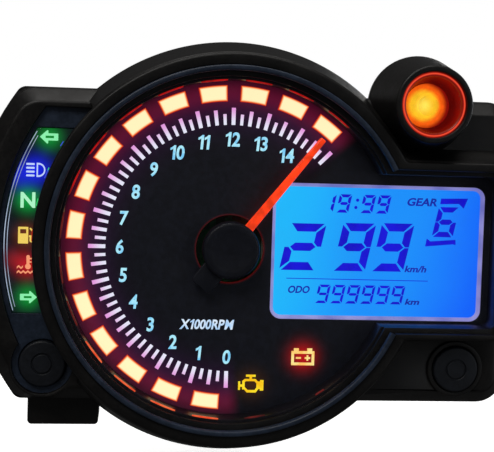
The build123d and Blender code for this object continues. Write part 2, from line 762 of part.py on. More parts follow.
def lamp_housing():
    outside = [(0, LAMP_LOW), (LAMP_R - 2.6, LAMP_LOW), (LAMP_R - 0.9, LAMP_LOW + 0.8)]
    outside += [(LAMP_R, LAMP_LOW + 2.4), (LAMP_R, LAMP_LOW + 3.8)]
    outside += [(LAMP_RIM_R + 0.5, LAMP_HIGH - 0.7), (LAMP_RIM_R, LAMP_HIGH)]
    inside = [(LAMP_BORE, LAMP_HIGH), (LAMP_BORE, LAMP_SHELF), (LAMP_SHELF_R, LAMP_SHELF)]
    inside += [(LAMP_SHELF_R, LAMP_SHELF - 1), (LAMP_CAVITY_R, LAMP_SHELF - 1), (LAMP_CAVITY_R, LAMP_FLOOR)]
    inside += [(0, LAMP_FLOOR)]
    body = turned(outside + inside, LAMP)
    body = body + ring(LAMP_CAVITY_R + 0.5, LAMP_CAVITY_R - 1.5, LAMP_FLOOR - 1, LAMP_BOARD_LOW - SEAT, LAMP)
    for spot in lamp_screw_spots():
        body = body - disc(SCREW_R + RUN, LAMP_LOW - 1, LAMP_FLOOR - 0.4, spot)
    wire_hole = (LAMP[0], LAMP[1] - LAMP_CAVITY_R + 5)
    return body - disc(1.6, LAMP_LOW - 1, LAMP_FLOOR + 1, wire_hole)


def lamp_trim_ring():
    low = LAMP_SHELF + SEAT
    return turned([
        (LAMP_RING_IN, low), (LAMP_BORE - SEAT, low), (LAMP_BORE - SEAT, low + 1.3),
        (LAMP_BORE - 0.5, low + 1.8), (LAMP_RING_IN + 0.3, low + 1.8), (LAMP_RING_IN, low + 1.3),
    ], LAMP)


def lamp_lens():
    low = LAMP_SHELF + SEAT + 0.2
    edge = LAMP_RING_IN - SEAT
    profile = [(0, low), (edge, low), (edge, low + 0.8)]
    profile += [(edge * cos(radians(t)), low + 0.8 + 0.9 * sin(radians(t))) for t in range(15, 90, 15)]
    return turned(profile + [(0, low + 1.7)], LAMP)


def lamp_board():
    return disc(LAMP_CAVITY_R - FIT, LAMP_BOARD_LOW, LAMP_BOARD_LOW + 1.2, LAMP)


def lamp_led():
    low = LAMP_BOARD_LOW + 1.2
    profile = [(0, low), (2.9, low), (2.9, low + 0.8), (2.5, low + 0.8), (2.5, low + 1.6)]
    profile += [(2.5 * cos(radians(t)), low + 1.6 + 2.3 * sin(radians(t))) for t in range(15, 90, 15)]
    return turned(profile + [(0, low + 3.9)], LAMP)


def lamp_reflector():
    low = LAMP_BOARD_LOW + 1.3
    high = LAMP_SHELF - 1.1
    step = high - 5.4
    inner = [(3.2, low), (DOME_R - 0.6, step), (DOME_R + FIT, step), (LAMP_SHELF_R - 0.2, high)]
    outer = [(LAMP_CAVITY_R - FIT, high), (LAMP_CAVITY_R - FIT, high - 0.8)]
    outer += [(DOME_R + 1.0, step - 0.6), (4.2, low)]
    return turned(inner + outer, LAMP)


def lamp_diffuser():
    low = LAMP_SHELF - 1.1 - 5.4 + SEAT
    profile = [(0, low), (DOME_R, low), (DOME_R, low + 0.3)]
    profile += [(DOME_R * cos(radians(t)), low + 0.3 + 2.4 * sin(radians(t))) for t in range(15, 90, 15)]
    return turned(profile + [(0, low + 2.7)], LAMP)


# ================================================================ needle
def needle_turn(shape):
    """Turns a piece drawn straight up to the needle's place at rest."""
    return shape.rotate(Axis.Y, NEEDLE_ANGLE)


def needle_hub_cap():
    inside = HUB_HIGH - HUB_ROOF
    shape = turned([
        (HUB_R - HUB_WALL, HUB_LOW), (HUB_R, HUB_LOW), (HUB_R, HUB_HIGH - 0.7), (HUB_R - 0.3, HUB_HIGH - 0.2),
        (HUB_R - 0.9, HUB_HIGH), (0, HUB_HIGH), (0, inside), (HUB_R - HUB_WALL, inside),
    ])
    shape = shape + disc(2.0, HUB_LOW + 0.6, inside + 0.2)
    shape = shape - disc(SHAFT_R + 0.02, HUB_LOW, SHAFT_TOP + SEAT)
    arm_gap = area(-NEEDLE_W0 / 2 - 0.15, NEEDLE_W0 / 2 + 0.15, 0, HUB_R + 1) - Circle(HUB_R - HUB_WALL - 0.1)
    tail_gap = area(-TAIL_W / 2 - 0.1, TAIL_W / 2 + 0.1, -HUB_R - 1, 0) - Circle(HUB_R - HUB_WALL - 0.1)
    high = NEEDLE_LOW + NEEDLE_T + FIT
    shape = shape - slab(arm_gap, HUB_LOW - 1, high) - slab(tail_gap, HUB_LOW - 1, high)
    return needle_turn(shape)


def needle_pointer():
    arm = make_face(Polyline(
        (-NEEDLE_W0 / 2, 3.5), (-NEEDLE_W1 / 2, NEEDLE_R - 0.6), (-NEEDLE_W1 / 2 + 0.5, NEEDLE_R),
        (NEEDLE_W1 / 2 - 0.5, NEEDLE_R), (NEEDLE_W1 / 2, NEEDLE_R - 0.6), (NEEDLE_W0 / 2, 3.5), close=True,
    ))
    root = (Circle(6.5) - Circle(2.1)) & area(-7, 7, 0.05, 7)
    return needle_turn(slab(arm + root, NEEDLE_LOW, NEEDLE_LOW + NEEDLE_T))


def needle_counterweight():
    root = (Circle(6.5) - Circle(2.1)) & area(-7, 7, -7, -0.05)
    tail = area(-TAIL_W / 2, TAIL_W / 2, -TAIL_R, -3.0)
    tail = fillet(tail.vertices().sort_by(Axis.Y)[:2], 1.2)
    return needle_turn(slab(root + tail, NEEDLE_LOW, NEEDLE_LOW + NEEDLE_T))


def needle_shaft():
    return disc(SHAFT_R, MOTOR_LOW + MOTOR_WALL - PIVOT_DEPTH, SHAFT_TOP)


# ================================================================ gauge motor
def involute(angle):
    return tan(angle) - angle


def gear_face(teeth, module, tooth_at):
    """Involute spur gear; one tooth is centred on the clock angle tooth_at, in degrees."""
    pitch_r = module * teeth / 2
    base_r = pitch_r * cos(radians(PRESSURE))
    root_r = pitch_r - DEDENDUM * module
    tip_r = pitch_r + ADDENDUM * module
    half_at_pitch = pi / (2 * teeth) - BACKLASH / (2 * pitch_r)
    start_r = max(base_r, root_r)
    flank = []
    for step in range(4):
        r = start_r + (tip_r - start_r) * step / 3
        lean = involute(acos(base_r / r)) if r > base_r else 0.0
        flank.append((r, half_at_pitch + involute(radians(PRESSURE)) - lean))
    if root_r < base_r:
        flank.insert(0, (root_r, flank[0][1]))
    points = []
    for tooth in range(teeth):
        middle = tooth_at + 360 * tooth / teeth
        points += [polar(r, middle - degrees(half)) for r, half in flank]
        points += [polar(r, middle + degrees(half)) for r, half in reversed(flank)]
    return make_face(Polyline(*points, close=True))


MID_CENTRE = (0, -OUT_MODULE * (OUT_TEETH + MID_PINION_TEETH) / 2)
ROTOR_CENTRE = (0, MID_CENTRE[1] - MID_MODULE * (MID_TEETH + ROTOR_TEETH) / 2)
MOTOR_HIGH = BOARD_LOW - SEAT
MOTOR_SPLIT = MOTOR_HIGH - MOTOR_WALL


def output_gear():
    face = gear_face(OUT_TEETH, OUT_MODULE, 180) - Circle(SHAFT_R + 0.02)
    return slab(face, *OUT_GEAR)


def arbor(at):
    low = MOTOR_LOW + MOTOR_WALL
    shape = disc(PIVOT_R, low - PIVOT_DEPTH + FIT, MOTOR_SPLIT + PIVOT_DEPTH - FIT, at)
    return shape + disc(0.9, low + 0.3, MOTOR_SPLIT - 0.2, at)


def intermediate_gear():
    pinion = gear_face(MID_PINION_TEETH, OUT_MODULE, 180 / MID_PINION_TEETH)
    wheel = gear_face(MID_TEETH, MID_MODULE, 180)
    shape = slab(Pos(*MID_CENTRE) * wheel, *MID_WHEEL)
    shape = shape + slab(Pos(*MID_CENTRE) * pinion, MID_WHEEL[1] - 0.2, OUT_GEAR[1])
    return shape + arbor(MID_CENTRE)


def rotor_pinion():
    face = gear_face(ROTOR_TEETH, MID_MODULE, 180 / ROTOR_TEETH)
    shape = slab(Pos(*ROTOR_CENTRE) * face, MAGNET[1] + SEAT, MID_WHEEL[1])
    return shape + arbor(ROTOR_CENTRE)


def rotor_magnet():
    return ring(MAGNET_R, 0.92, *MAGNET, ROTOR_CENTRE)


def motor_outline(inset):
    shape = area(-MOTOR_HALF_W + inset, MOTOR_HALF_W - inset, MOTOR_LOW_Z + inset, MOTOR_TOP_Z - inset)
    return fillet(shape.vertices(), 4.0 - inset)


def motor_back_case():
    shape = slab(motor_outline(0), MOTOR_LOW, MOTOR_SPLIT - SEAT)
    shape = shape - slab(motor_outline(MOTOR_WALL), MOTOR_LOW + MOTOR_WALL, MOTOR_SPLIT + 1)
    for at in [MID_CENTRE, ROTOR_CENTRE]:
        shape = shape - disc(PIVOT_R + RUN, MOTOR_LOW + MOTOR_WALL - PIVOT_DEPTH, MOTOR_LOW + 2, at)
    return shape - disc(SHAFT_R + RUN, MOTOR_LOW + MOTOR_WALL - PIVOT_DEPTH - FIT, MOTOR_LOW + 2)


def motor_front_case():
    shape = slab(motor_outline(0), MOTOR_SPLIT, MOTOR_HIGH)
    for at in [MID_CENTRE, ROTOR_CENTRE]:
        shape = shape - disc(PIVOT_R + RUN, MOTOR_SPLIT - 1, MOTOR_SPLIT + PIVOT_DEPTH, at)
    shape = shape + disc(2.2, MOTOR_SPLIT, BOARD_TOP + 0.8)
    for spot in motor_peg_spots():
        shape = shape + disc(1.0, MOTOR_SPLIT, BOARD_TOP - FIT, spot)
    return shape - disc(SHAFT_R + RUN, MOTOR_SPLIT - 1, BOARD_TOP + 2)


def motor_stator():
    z = ROTOR_CENTRE[1]
    reach = MOTOR_HALF_W - MOTOR_WALL - FIT
    face = Pos(0, z) * Circle(MAGNET_R + STATOR_GAP + 1.3) + area(-reach, reach, z - 1.2, z + 1.2)
    face = face - Pos(0, z) * Circle(MAGNET_R + STATOR_GAP)
    return slab(face, MAGNET[0] + 0.2, MAGNET[1] - 0.2)


def motor_coils():
    z = ROTOR_CENTRE[1]
    inner_x = MAGNET_R + STATOR_GAP + 1.5
    coils = []
    for side in (-1, 1):
        x = side * (inner_x + COIL_LENGTH / 2)
        block = slab(Pos(x, z) * Rectangle(COIL_LENGTH, 5.0), MAGNET[0] - 0.5, MAGNET[1] + 0.4)
        room = Pos(x, z) * Rectangle(COIL_LENGTH + 1, 2.4 + 2 * SEAT)
        leg = slab(room, MAGNET[0] + 0.2 - SEAT, MAGNET[1] - 0.2 + SEAT)
        coils.append(block - leg)
    return spread(coils)


# ================================================================ fasteners
def stud_spots():
    return [polar(STUD_PCD / 2, 360 * index / STUDS) for index in range(STUDS)]


def mounting_studs():
    studs = []
    for spot in stud_spots():
        low = WALL + SEAT
        head = slab(Pos(*spot) * RegularPolygon(STUD_HEAD_R, 6), low, low + STUD_HEAD_T)
        collar = disc(STUD_COLLAR_R, SEAT, low + 0.5, spot)
        shank = disc(STUD_R, -STUD_LENGTH, SEAT, spot)
        tip = shank.edges().filter_by(GeomType.CIRCLE).sort_by(Axis.Y)[-1]
        studs.append(head + collar + chamfer(tip, 0.5))
    return spread(studs)


def screw(spot, seat, end, radius, head_r, head_t, towards_rider=True):
    """Pan-head screw with a cross recess; its shank runs from seat to end."""
    outer = seat - head_t if towards_rider else seat + head_t
    low, high = min(seat, outer), max(seat, outer)
    head = disc(head_r, low, high, spot)
    rim = head.edges().filter_by(GeomType.CIRCLE).sort_by(Axis.Y)
    head = chamfer(rim[-1] if towards_rider else rim[0], 0.4)
    cross = Rectangle(head_r * 1.2, 0.6) + Rectangle(0.6, head_r * 1.2)
    step = 0.9 if towards_rider else -0.9
    cut = slab(Pos(*spot) * cross, min(outer, outer + step), max(outer, outer + step))
    return head + disc(radius, min(seat, end), max(seat, end), spot) - cut


def case_screws():
    return spread([
        screw(spot, SCREW_SEAT - SEAT, SCREW_END, SCREW_R, SCREW_HEAD_R, SCREW_HEAD_T) for spot in CASE_SCREWS
    ])


def lamp_screws():
    return spread([
        screw(spot, SCREW_SEAT - SEAT, LAMP_FLOOR - 0.6, SCREW_R, SCREW_HEAD_R, SCREW_HEAD_T)
        for spot in lamp_screw_spots()
    ])


def board_screws():
    seat = BOARD_TOP + SEAT
    return spread([
        screw(spot, seat, BOARD_LOW - 7, BOARD_SCREW_R, BOARD_HEAD_R, BOARD_HEAD_T, False)
        for spot in BOARD_SCREWS
    ])


# ================================================================ nodes
NODES = {
    "rear_cover": rear_cover(),
    "front_cover": front_cover(),
    "case_seal": case_seal(),
    "dial_lens": dial_lens(),
    "bezel_ring": bezel_ring(),
    "dial_surround": dial_surround(),
    "dial_plate": dial_plate(),
    "segment_light_box": segment_light_box(),
    "segment_light_guides": segment_light_guides(),
    "segment_leds": segment_leds(),
    "dial_light_guide": dial_light_guide(),
    "dial_leds": dial_leds(),
    "telltale_light_boxes": telltale_light_boxes(),
    "lcd_glass": lcd_glass(),
    "lcd_backlight": lcd_backlight(),
    "lcd_frame": lcd_frame(),
    "lcd_pins": lcd_pins(),
    "main_board": main_board(),
    "microcontroller": chip((-38.0, 6.0), 12.0, 11),
    "lcd_driver_chip": chip((42.0, 4.0), 10.0, 9),
    "voltage_regulator": voltage_regulator(),
    "capacitors": capacitors(),
    "connector_shroud": connector_shroud(),
    "connector_pins": connector_pins(),
    "left_button": button(LEFT_BUTTON, LEFT_CAP_TOP),
    "right_button": button(RIGHT_BUTTON, RIGHT_CAP_TOP),
    "left_switch": switch_body(LEFT_BUTTON),
    "right_switch": switch_body(RIGHT_BUTTON),
    "left_switch_plunger": switch_plunger(LEFT_BUTTON),
    "right_switch_plunger": switch_plunger(RIGHT_BUTTON),
    "button_seals": button_seals(),
    "indicator_lens": indicator_lens(),
    "indicator_film": indicator_film(),
    "indicator_light_box": indicator_light_box(),
    "indicator_leds": indicator_leds(),
    "lamp_housing": lamp_housing(),
    "lamp_trim_ring": lamp_trim_ring(),
    "lamp_lens": lamp_lens(),
    "lamp_board": lamp_board(),
    "lamp_led": lamp_led(),
    "lamp_reflector": lamp_reflector(),
    "lamp_diffuser": lamp_diffuser(),
    "needle_hub_cap": needle_hub_cap(),
    "needle_pointer": needle_pointer(),
    "needle_counterweight": needle_counterweight(),
    "needle_shaft": needle_shaft(),
    "output_gear": output_gear(),
    "intermediate_gear": intermediate_gear(),
    "rotor_pinion": rotor_pinion(),
    "rotor_magnet": rotor_magnet(),
    "motor_back_case": motor_back_case(),
    "motor_front_case": motor_front_case(),
    "motor_stator": motor_stator(),
    "motor_coils": motor_coils(),
    "mounting_studs": mounting_studs(),
    "case_screws": case_screws(),
    "lamp_screws": lamp_screws(),
    "board_screws": board_screws(),
}

os.makedirs("parts", exist_ok=True)
for name, shape in NODES.items():
    solids = shape.solids()
    node = solids[0] if len(solids) == 1 else Compound(children=solids)
    export_step(node, f"parts/{name}.step")
    print(name, len(solids))
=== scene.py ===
"""Looks of a motorcycle instrument cluster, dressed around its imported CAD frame.

Lengths inside the classes are millimetres. A point on the face is (x, z): x to the rider's right, z up.
A height is the distance forward of the rear mounting face, so a height h lies at y = -h in the frame.
Clock angles are in degrees, clockwise from the top, as the rider sees the dial.
"""

import json
import logging
from dataclasses import dataclass, field
from enum import Enum
from math import cos, radians, sin
from typing import Callable, Iterable, Sequence

import bmesh
import bpy
import numpy as np
from mathutils import Matrix, Vector
from mathutils.geometry import tessellate_polygon


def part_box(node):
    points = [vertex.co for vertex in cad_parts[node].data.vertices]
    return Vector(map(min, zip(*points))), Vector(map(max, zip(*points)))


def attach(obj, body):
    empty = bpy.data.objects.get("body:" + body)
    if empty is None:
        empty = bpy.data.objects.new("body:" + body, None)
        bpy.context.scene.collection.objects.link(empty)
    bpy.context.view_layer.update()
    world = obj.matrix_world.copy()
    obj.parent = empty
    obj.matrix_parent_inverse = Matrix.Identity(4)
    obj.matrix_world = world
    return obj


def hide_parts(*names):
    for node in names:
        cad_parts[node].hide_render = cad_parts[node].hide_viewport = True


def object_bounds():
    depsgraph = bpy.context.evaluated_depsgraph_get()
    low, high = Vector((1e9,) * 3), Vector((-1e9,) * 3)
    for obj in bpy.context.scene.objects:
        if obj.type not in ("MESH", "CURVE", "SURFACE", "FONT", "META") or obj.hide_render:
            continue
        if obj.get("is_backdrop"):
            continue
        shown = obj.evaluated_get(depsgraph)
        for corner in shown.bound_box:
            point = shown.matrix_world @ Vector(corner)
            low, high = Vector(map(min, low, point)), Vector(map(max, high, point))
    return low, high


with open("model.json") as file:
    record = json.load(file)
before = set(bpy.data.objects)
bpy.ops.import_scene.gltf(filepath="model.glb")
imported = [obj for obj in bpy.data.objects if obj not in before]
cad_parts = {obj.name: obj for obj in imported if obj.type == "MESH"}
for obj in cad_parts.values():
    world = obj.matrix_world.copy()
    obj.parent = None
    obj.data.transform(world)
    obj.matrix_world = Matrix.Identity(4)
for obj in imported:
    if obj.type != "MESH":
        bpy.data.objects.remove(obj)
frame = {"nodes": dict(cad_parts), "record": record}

LOG = logging.getLogger("cluster")
MM = 0.001
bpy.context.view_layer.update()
Array = np.ndarray
Colour = tuple[int, int, int]
Edge = Callable[[float], Array]


class Body(str, Enum):
    """The rigid bodies that a piece can ride on."""

    CASE = "case"
    NEEDLE = "needle"
    LEFT_PUSH = "left_push"
    RIGHT_PUSH = "right_push"


class Heat(str, Enum):
    """How bright a painted reflection of a segment on the well's wall is."""

    HOT = "hot"
    WARM = "warm"
    DIM = "dim"


class Sign(str, Enum):
    """The tell-tales of the left wing."""

    LEFT_ARROW = "left_arrow"
    HIGH_BEAM = "high_beam"
    NEUTRAL = "neutral"
    FUEL = "fuel"
    COOLANT = "coolant"
    RIGHT_ARROW = "right_arrow"


# ---- places read from the frame
def low_of(node: str) -> float:
    """Height of a CAD node's rear end, in millimetres."""
    return -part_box(node)[1].y / MM


def high_of(node: str) -> float:
    """Height of a CAD node's front end, in millimetres."""
    return -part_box(node)[0].y / MM


def centre_of(node: str) -> Array:
    """Middle of a CAD node on the face, in millimetres.

    Args:
        node: the node's name.

    Returns:
        The point (x, z).
    """
    low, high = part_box(node)
    return np.array([(low.x + high.x) / 2, (low.z + high.z) / 2]) / MM


def reach_of(node: str) -> float:
    """Half of a CAD node's width, in millimetres."""
    low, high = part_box(node)
    return (high.x - low.x) / 2 / MM


# ---- plane curves
def polar(radius: float | Array, clock: float | Array) -> Array:
    """Points at a distance and a clock angle: x = r sin a, z = r cos a.

    Args:
        radius: distance from the origin.
        clock: clock angle in degrees.

    Returns:
        Points (..., 2).
    """
    turn = np.radians(clock)
    return np.stack([radius * np.sin(turn), radius * np.cos(turn)], axis=-1)


def arc(centre: Sequence[float], radius: float, start: float, end: float, steps: int = 16) -> Array:
    """Points along a circular arc between two clock angles, both ends included."""
    return np.asarray(centre) + polar(radius, np.linspace(start, end, steps))


def level_clock(level: float, radius: float) -> float:
    """Clock angle, right of the top, where a circle about the dial's axis crosses a level of Z."""
    return float(np.degrees(np.arccos(level / radius)))


def bearing(point: Array) -> float:
    """Clock angle of a point, from 0 to 360 degrees."""
    return float(np.degrees(np.arctan2(point[0], point[1]))) % 360


def level_band(inner: float, outer: float, low: float, high: float, steps: int) -> Array:
    """The part of a flat ring left of the dial that lies between two levels of Z.

    Args:
        inner: the ring's inner radius.
        outer: its outer radius.
        low: the lower level.
        high: the upper level.
        steps: points on each arc.

    Returns:
        The outline's points (2 steps, 2).
    """
    start, end = (360 - level_clock(high, radius) for radius in (outer, inner))
    drop, rise = (180 + level_clock(-low, radius) for radius in (outer, inner))
    return np.concatenate([arc((0, 0), outer, start, drop, steps), arc((0, 0), inner, rise, end, steps)])


def ring_points(centre: Sequence[float], radius: float, count: int = 96) -> Array:
    """Points of a whole circle, without repeating the first."""
    return np.asarray(centre) + polar(radius, np.arange(count) * 360.0 / count)


def rounded(corners: Sequence[tuple[float, float, float]], steps: int = 7) -> Array:
    """A polygon whose corners are arcs.

    Each corner (x, z, r) is replaced by the arc of radius r that touches both of its edges: the arc's
    ends lie r / tan(half the corner's angle) from the corner.

    Args:
        corners: the polygon's corners with their radii.
        steps: points on each arc.

    Returns:
        The outline's points (n, 2).
    """
    points = np.array([corner[:2] for corner in corners], float)
    runs = []
    for index, (x, z, radius) in enumerate(corners):
        here = points[index]
        if radius <= 0:
            runs.append(here[None, :])
            continue
        back = points[index - 1] - here
        on = points[(index + 1) % len(points)] - here
        back, on = back / np.linalg.norm(back), on / np.linalg.norm(on)
        half = np.arccos(np.clip(back @ on, -1, 1)) / 2
        middle = here + (back + on) / np.linalg.norm(back + on) * radius / np.sin(half)
        first = here + back * radius / np.tan(half) - middle
        last = here + on * radius / np.tan(half) - middle
        span = np.arccos(np.clip(first @ last / radius**2, -1, 1))
        share = np.linspace(0, 1, steps)[:, None]
        swing = np.sin((1 - share) * span) * first + np.sin(share * span) * last
        runs.append(middle + swing / np.sin(span))
    return np.concatenate(runs)


def box_distance(p: Array, left: float, right: float, low: float, high: float, radius: float) -> Array:
    """Signed distance to a rectangle with rounded corners, negative inside.

    Args:
        p: points (..., 2).
        left: left edge.
        right: right edge.
        low: lower edge.
        high: upper edge.
        radius: radius of the corners.

    Returns:
        The distances.
    """
    middle = np.array([(left + right) / 2, (low + high) / 2])
    half = np.array([(right - left) / 2, (high - low) / 2]) - radius
    q = np.abs(p - middle) - half
    return np.linalg.norm(np.maximum(q, 0), axis=-1) + np.minimum(q.max(axis=-1), 0) - radius


def round_both(a: Array, b: Array, radius: float) -> Array:
    """Signed distance to the overlap of two shapes whose shared corner is rounded.

    Args:
        a: distances to the first shape.
        b: distances to the second.
        radius: radius of the rounding.

    Returns:
        The distances to the overlap.
    """
    corner = np.hypot(np.maximum(a + radius, 0), np.maximum(b + radius, 0))
    return np.minimum(np.maximum(a, b), -radius) + corner


def star(distance: Callable[[Array], Array], clocks: Array, centre: Sequence[float] = (0, 0)) -> Array:
    """The outline of a shape seen from a point inside it.

    On the ray at each clock angle the radius where the signed distance is zero is found by halving
    the interval 0..120 mm twenty-four times.

    Args:
        distance: signed distance of points (n, 2), negative inside.
        clocks: clock angles of the rays.
        centre: the point that sees the whole outline.

    Returns:
        The outline's points (n, 2).
    """
    low = np.zeros(len(clocks))
    high = np.full(len(clocks), 120.0)
    for _ in range(24):
        middle = (low + high) / 2
        inside = distance(np.asarray(centre) + polar(middle, clocks)) < 0
        low, high = np.where(inside, middle, low), np.where(inside, high, middle)
    return np.asarray(centre) + polar((low + high) / 2, clocks)


def offset(points: Array, distance: float) -> Array:
    """Moves a closed outline's edges outwards by a distance, with mitred corners.

    A corner moves along the sum of its two edges' unit normals n1 + n2 by
    distance * 2 / |n1 + n2|^2, which keeps both edges parallel to themselves.
    """
    if distance == 0:
        return points
    run = np.roll(points, -1, axis=0) - points
    area = np.sum(points[:, 0] * np.roll(points[:, 1], -1) - np.roll(points[:, 0], -1) * points[:, 1])
    normal = np.stack([run[:, 1], -run[:, 0]], axis=1) * np.sign(area)
    normal /= np.maximum(np.linalg.norm(normal, axis=1, keepdims=True), 1e-9)
    both = normal + np.roll(normal, 1, axis=0)
    return points + both * distance * 2 / np.maximum(np.sum(both**2, axis=1, keepdims=True), 0.6)


def inward(points: Array) -> Edge:
    """The outer edge of a plate as a function of how far it is drawn in."""
    return lambda depth: offset(points, -depth)


def outward(points: Array) -> Edge:
    """The edge of a hole as a function of how far it opens into the plate."""
    return lambda depth: offset(points, depth)


# ---- shells
@dataclass
class Shell:
    """A surface: points (n, 3) as (x, z, height), faces, and one (u, v) for each point."""

    points: Array
    faces: list[list[int]]
    uv: Array | None = None

    def moved(self, x: float = 0.0, z: float = 0.0, height: float = 0.0) -> "Shell":
        """The same surface, shifted."""
        return Shell(self.points + np.array([x, z, height]), self.faces, self.uv)

    def turned(self, clock: float, centre: Sequence[float] = (0, 0)) -> "Shell":
        """The same surface, turned clockwise on the face about a point."""
        turn = radians(clock)
        flat = self.points[:, :2] - np.asarray(centre)
        x = flat[:, 0] * cos(turn) + flat[:, 1] * sin(turn)
        z = flat[:, 1] * cos(turn) - flat[:, 0] * sin(turn)
        points = np.column_stack([x + centre[0], z + centre[1], self.points[:, 2]])
        return Shell(points, self.faces, self.uv)


def joined(shells: Iterable[Shell]) -> Shell:
    """One surface from several, which keep their own faces.

    Args:
        shells: the surfaces.

    Returns:
        The one surface.
    """
    points, faces, uvs, start = [], [], [], 0
    for shell in shells:
        points.append(shell.points)
        faces += [[start + index for index in face] for face in shell.faces]
        uvs.append(shell.uv if shell.uv is not None else np.zeros((len(shell.points), 2)))
        start += len(shell.points)
    return Shell(np.concatenate(points), faces, np.concatenate(uvs))


def at(points: Array, height: float) -> Array:
    """Plane points lifted to a height."""
    return np.column_stack([points, np.full(len(points), height)])


def stacked(rings: Sequence[Array], closed: bool = True, looped: bool = False) -> Shell:
    """Quads between successive rings of points.

    Args:
        rings: P rings of N points (x, z, height).
        closed: whether each ring joins its own ends.
        looped: whether the last ring joins the first, as in a swept closed section.

    Returns:
        The surface, with u along a ring and v across the rings.
    """
    grid = np.stack(rings)
    rows, columns = grid.shape[:2]
    i, j = np.meshgrid(np.arange(rows - (not looped)), np.arange(columns - (not closed)), indexing="ij")
    down, across = (i + 1) % rows, (j + 1) % columns
    near, far = i * columns, down * columns
    quads = np.stack([near + j, near + across, far + across, far + j], axis=-1)
    u, v = np.meshgrid(np.linspace(0, 1, columns), np.linspace(0, 1, rows))
    uv = np.stack([u, v], axis=-1).reshape(-1, 2)
    return Shell(grid.reshape(-1, 3), quads.reshape(-1, 4).tolist(), uv)


def filled(loops: Sequence[Array], height: float) -> Shell:
    """A flat face inside the first outline and outside the others.

    Args:
        loops: the outlines.
        height: height of the face.

    Returns:
        The face, in triangles.
    """
    vectors = [[Vector((x, z, 0)) for x, z in loop] for loop in loops]
    points = np.concatenate(loops)
    faces = [list(face) for face in tessellate_polygon(vectors)]
    return Shell(at(points, height), faces)


def rim(low: float, high: float, radius: float = 0.2, low_radius: float = 0.0, steps: int = 4) -> list:
    """A plate's edge from rear to front as (drawn in, height) points.

    A rounding follows drawn in = r (1 - cos t), height = high - r (1 - sin t) for t from 0 to 90 degrees.

    Args:
        low: height of the rear face.
        high: height of the front face.
        radius: rounding of the front edge.
        low_radius: rounding of the rear edge.
        steps: points on each rounding.

    Returns:
        The profile's points.
    """
    turns = np.radians(np.linspace(0, 90, steps))
    front = [(radius * (1 - cos(t)), high - radius * (1 - sin(t))) for t in turns]
    rear = [(low_radius * (1 - cos(t)), low + low_radius * (1 - sin(t))) for t in turns[::-1]]
    return (rear if low_radius > 0 else [(0.0, low)]) + (front if radius > 0 else [(0.0, high)])


def plate(outer: Edge, holes: Sequence[Edge], edge: Sequence[tuple[float, float]],
          bore: Sequence[tuple[float, float]] | None = None) -> Shell:
    """A closed plate with holes, whose walls follow a profile.

    Args:
        outer: the outer edge as a function of how far it is drawn in.
        holes: the edges of the holes, likewise.
        edge: profile of the outer wall, from the rear face to the front face.
        bore: profile of the holes' walls; the outer wall's if None.

    Returns:
        The closed surface.
    """
    wall = bore or edge
    shells = [stacked([at(outer(depth), height) for depth, height in edge])]
    shells += [stacked([at(hole(depth), height) for depth, height in wall]) for hole in holes]
    rear = [outer(edge[0][0])] + [hole(wall[0][0]) for hole in holes]
    front = [outer(edge[-1][0])] + [hole(wall[-1][0]) for hole in holes]
    return joined(shells + [filled(rear, edge[0][1]), filled(front, edge[-1][1])])


def carried(rings: Sequence[Array]) -> Shell:
    """A closed section carried along an open path, with a flat cap at each end.

    Args:
        rings: the path (n, 3) of each of the section's corners in turn.

    Returns:
        The closed surface.
    """
    shell = stacked(rings, closed=False, looped=True)
    columns, rows = len(rings[0]), len(rings)
    shell.faces.append([row * columns for row in range(rows)])
    shell.faces.append([row * columns + columns - 1 for row in reversed(range(rows))])
    return shell


def lathe(profile: Sequence[tuple[float, float]], centre: Sequence[float] = (0, 0), count: int = 96) -> Shell:
    """A profile of (radius, height) points turned about an axis through centre.

    The surface is (cx + r sin t, cz + r cos t, h) for t round the circle; a radius of 0 closes a pole.
    """
    return stacked([at(ring_points(centre, max(radius, 1e-5), count), height) for radius, height in profile])


def corner(r0: float, h0: float, radius: float, start: float, end: float, steps: int = 5) -> list:
    """Points of a rounding in a turned profile: (r0 + R cos t, h0 + R sin t)."""
    return [(r0 + radius * cos(radians(t)), h0 + radius * sin(radians(t))) for t in np.linspace(start, end, steps)]


# ---- pieces
def put(name: str, shell: Shell, finish: "Finish", body: Body = Body.CASE,
        replaces: Sequence[str] = (), sharp: float = 32.0, merge: bool = True) -> bpy.types.Object:
    """Makes a surface into a dressed piece that rides on a body.

    Args:
        name: the piece's name.
        shell: its surface, in millimetres.
        finish: its finish.
        body: the body that it rides on.
        replaces: the CAD nodes that it stands for.
        sharp: edges that turn by more than this many degrees stay sharp.
        merge: whether points that coincide are merged.

    Returns:
        The new object, at the origin.
    """
    x, z, height = shell.points.T
    mesh = bpy.data.meshes.new(name)
    mesh.from_pydata((np.column_stack([x, -height, z]) * MM).tolist(), [], shell.faces)
    if shell.uv is not None:
        layer = mesh.uv_layers.new(name="surface")
        index = np.empty(len(mesh.loops), dtype=np.int32)
        mesh.loops.foreach_get("vertex_index", index)
        layer.data.foreach_set("uv", shell.uv[index].ravel())
    work = bmesh.new()
    work.from_mesh(mesh)
    if merge:
        bmesh.ops.remove_doubles(work, verts=work.verts, dist=2e-6)
        bmesh.ops.dissolve_degenerate(work, edges=work.edges, dist=1e-7)
    bmesh.ops.recalc_face_normals(work, faces=work.faces)
    work.to_mesh(mesh)
    work.free()
    mesh.shade_smooth()
    mesh.set_sharp_from_angle(angle=radians(sharp))
    piece = bpy.data.objects.new(name, mesh)
    bpy.context.scene.collection.objects.link(piece)
    mesh.materials.append(finish.material())
    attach(piece, body.value)
    if replaces:
        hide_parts(*replaces)
    LOG.info("%s: %d faces on %s", name, len(mesh.polygons), body.value)
    return piece


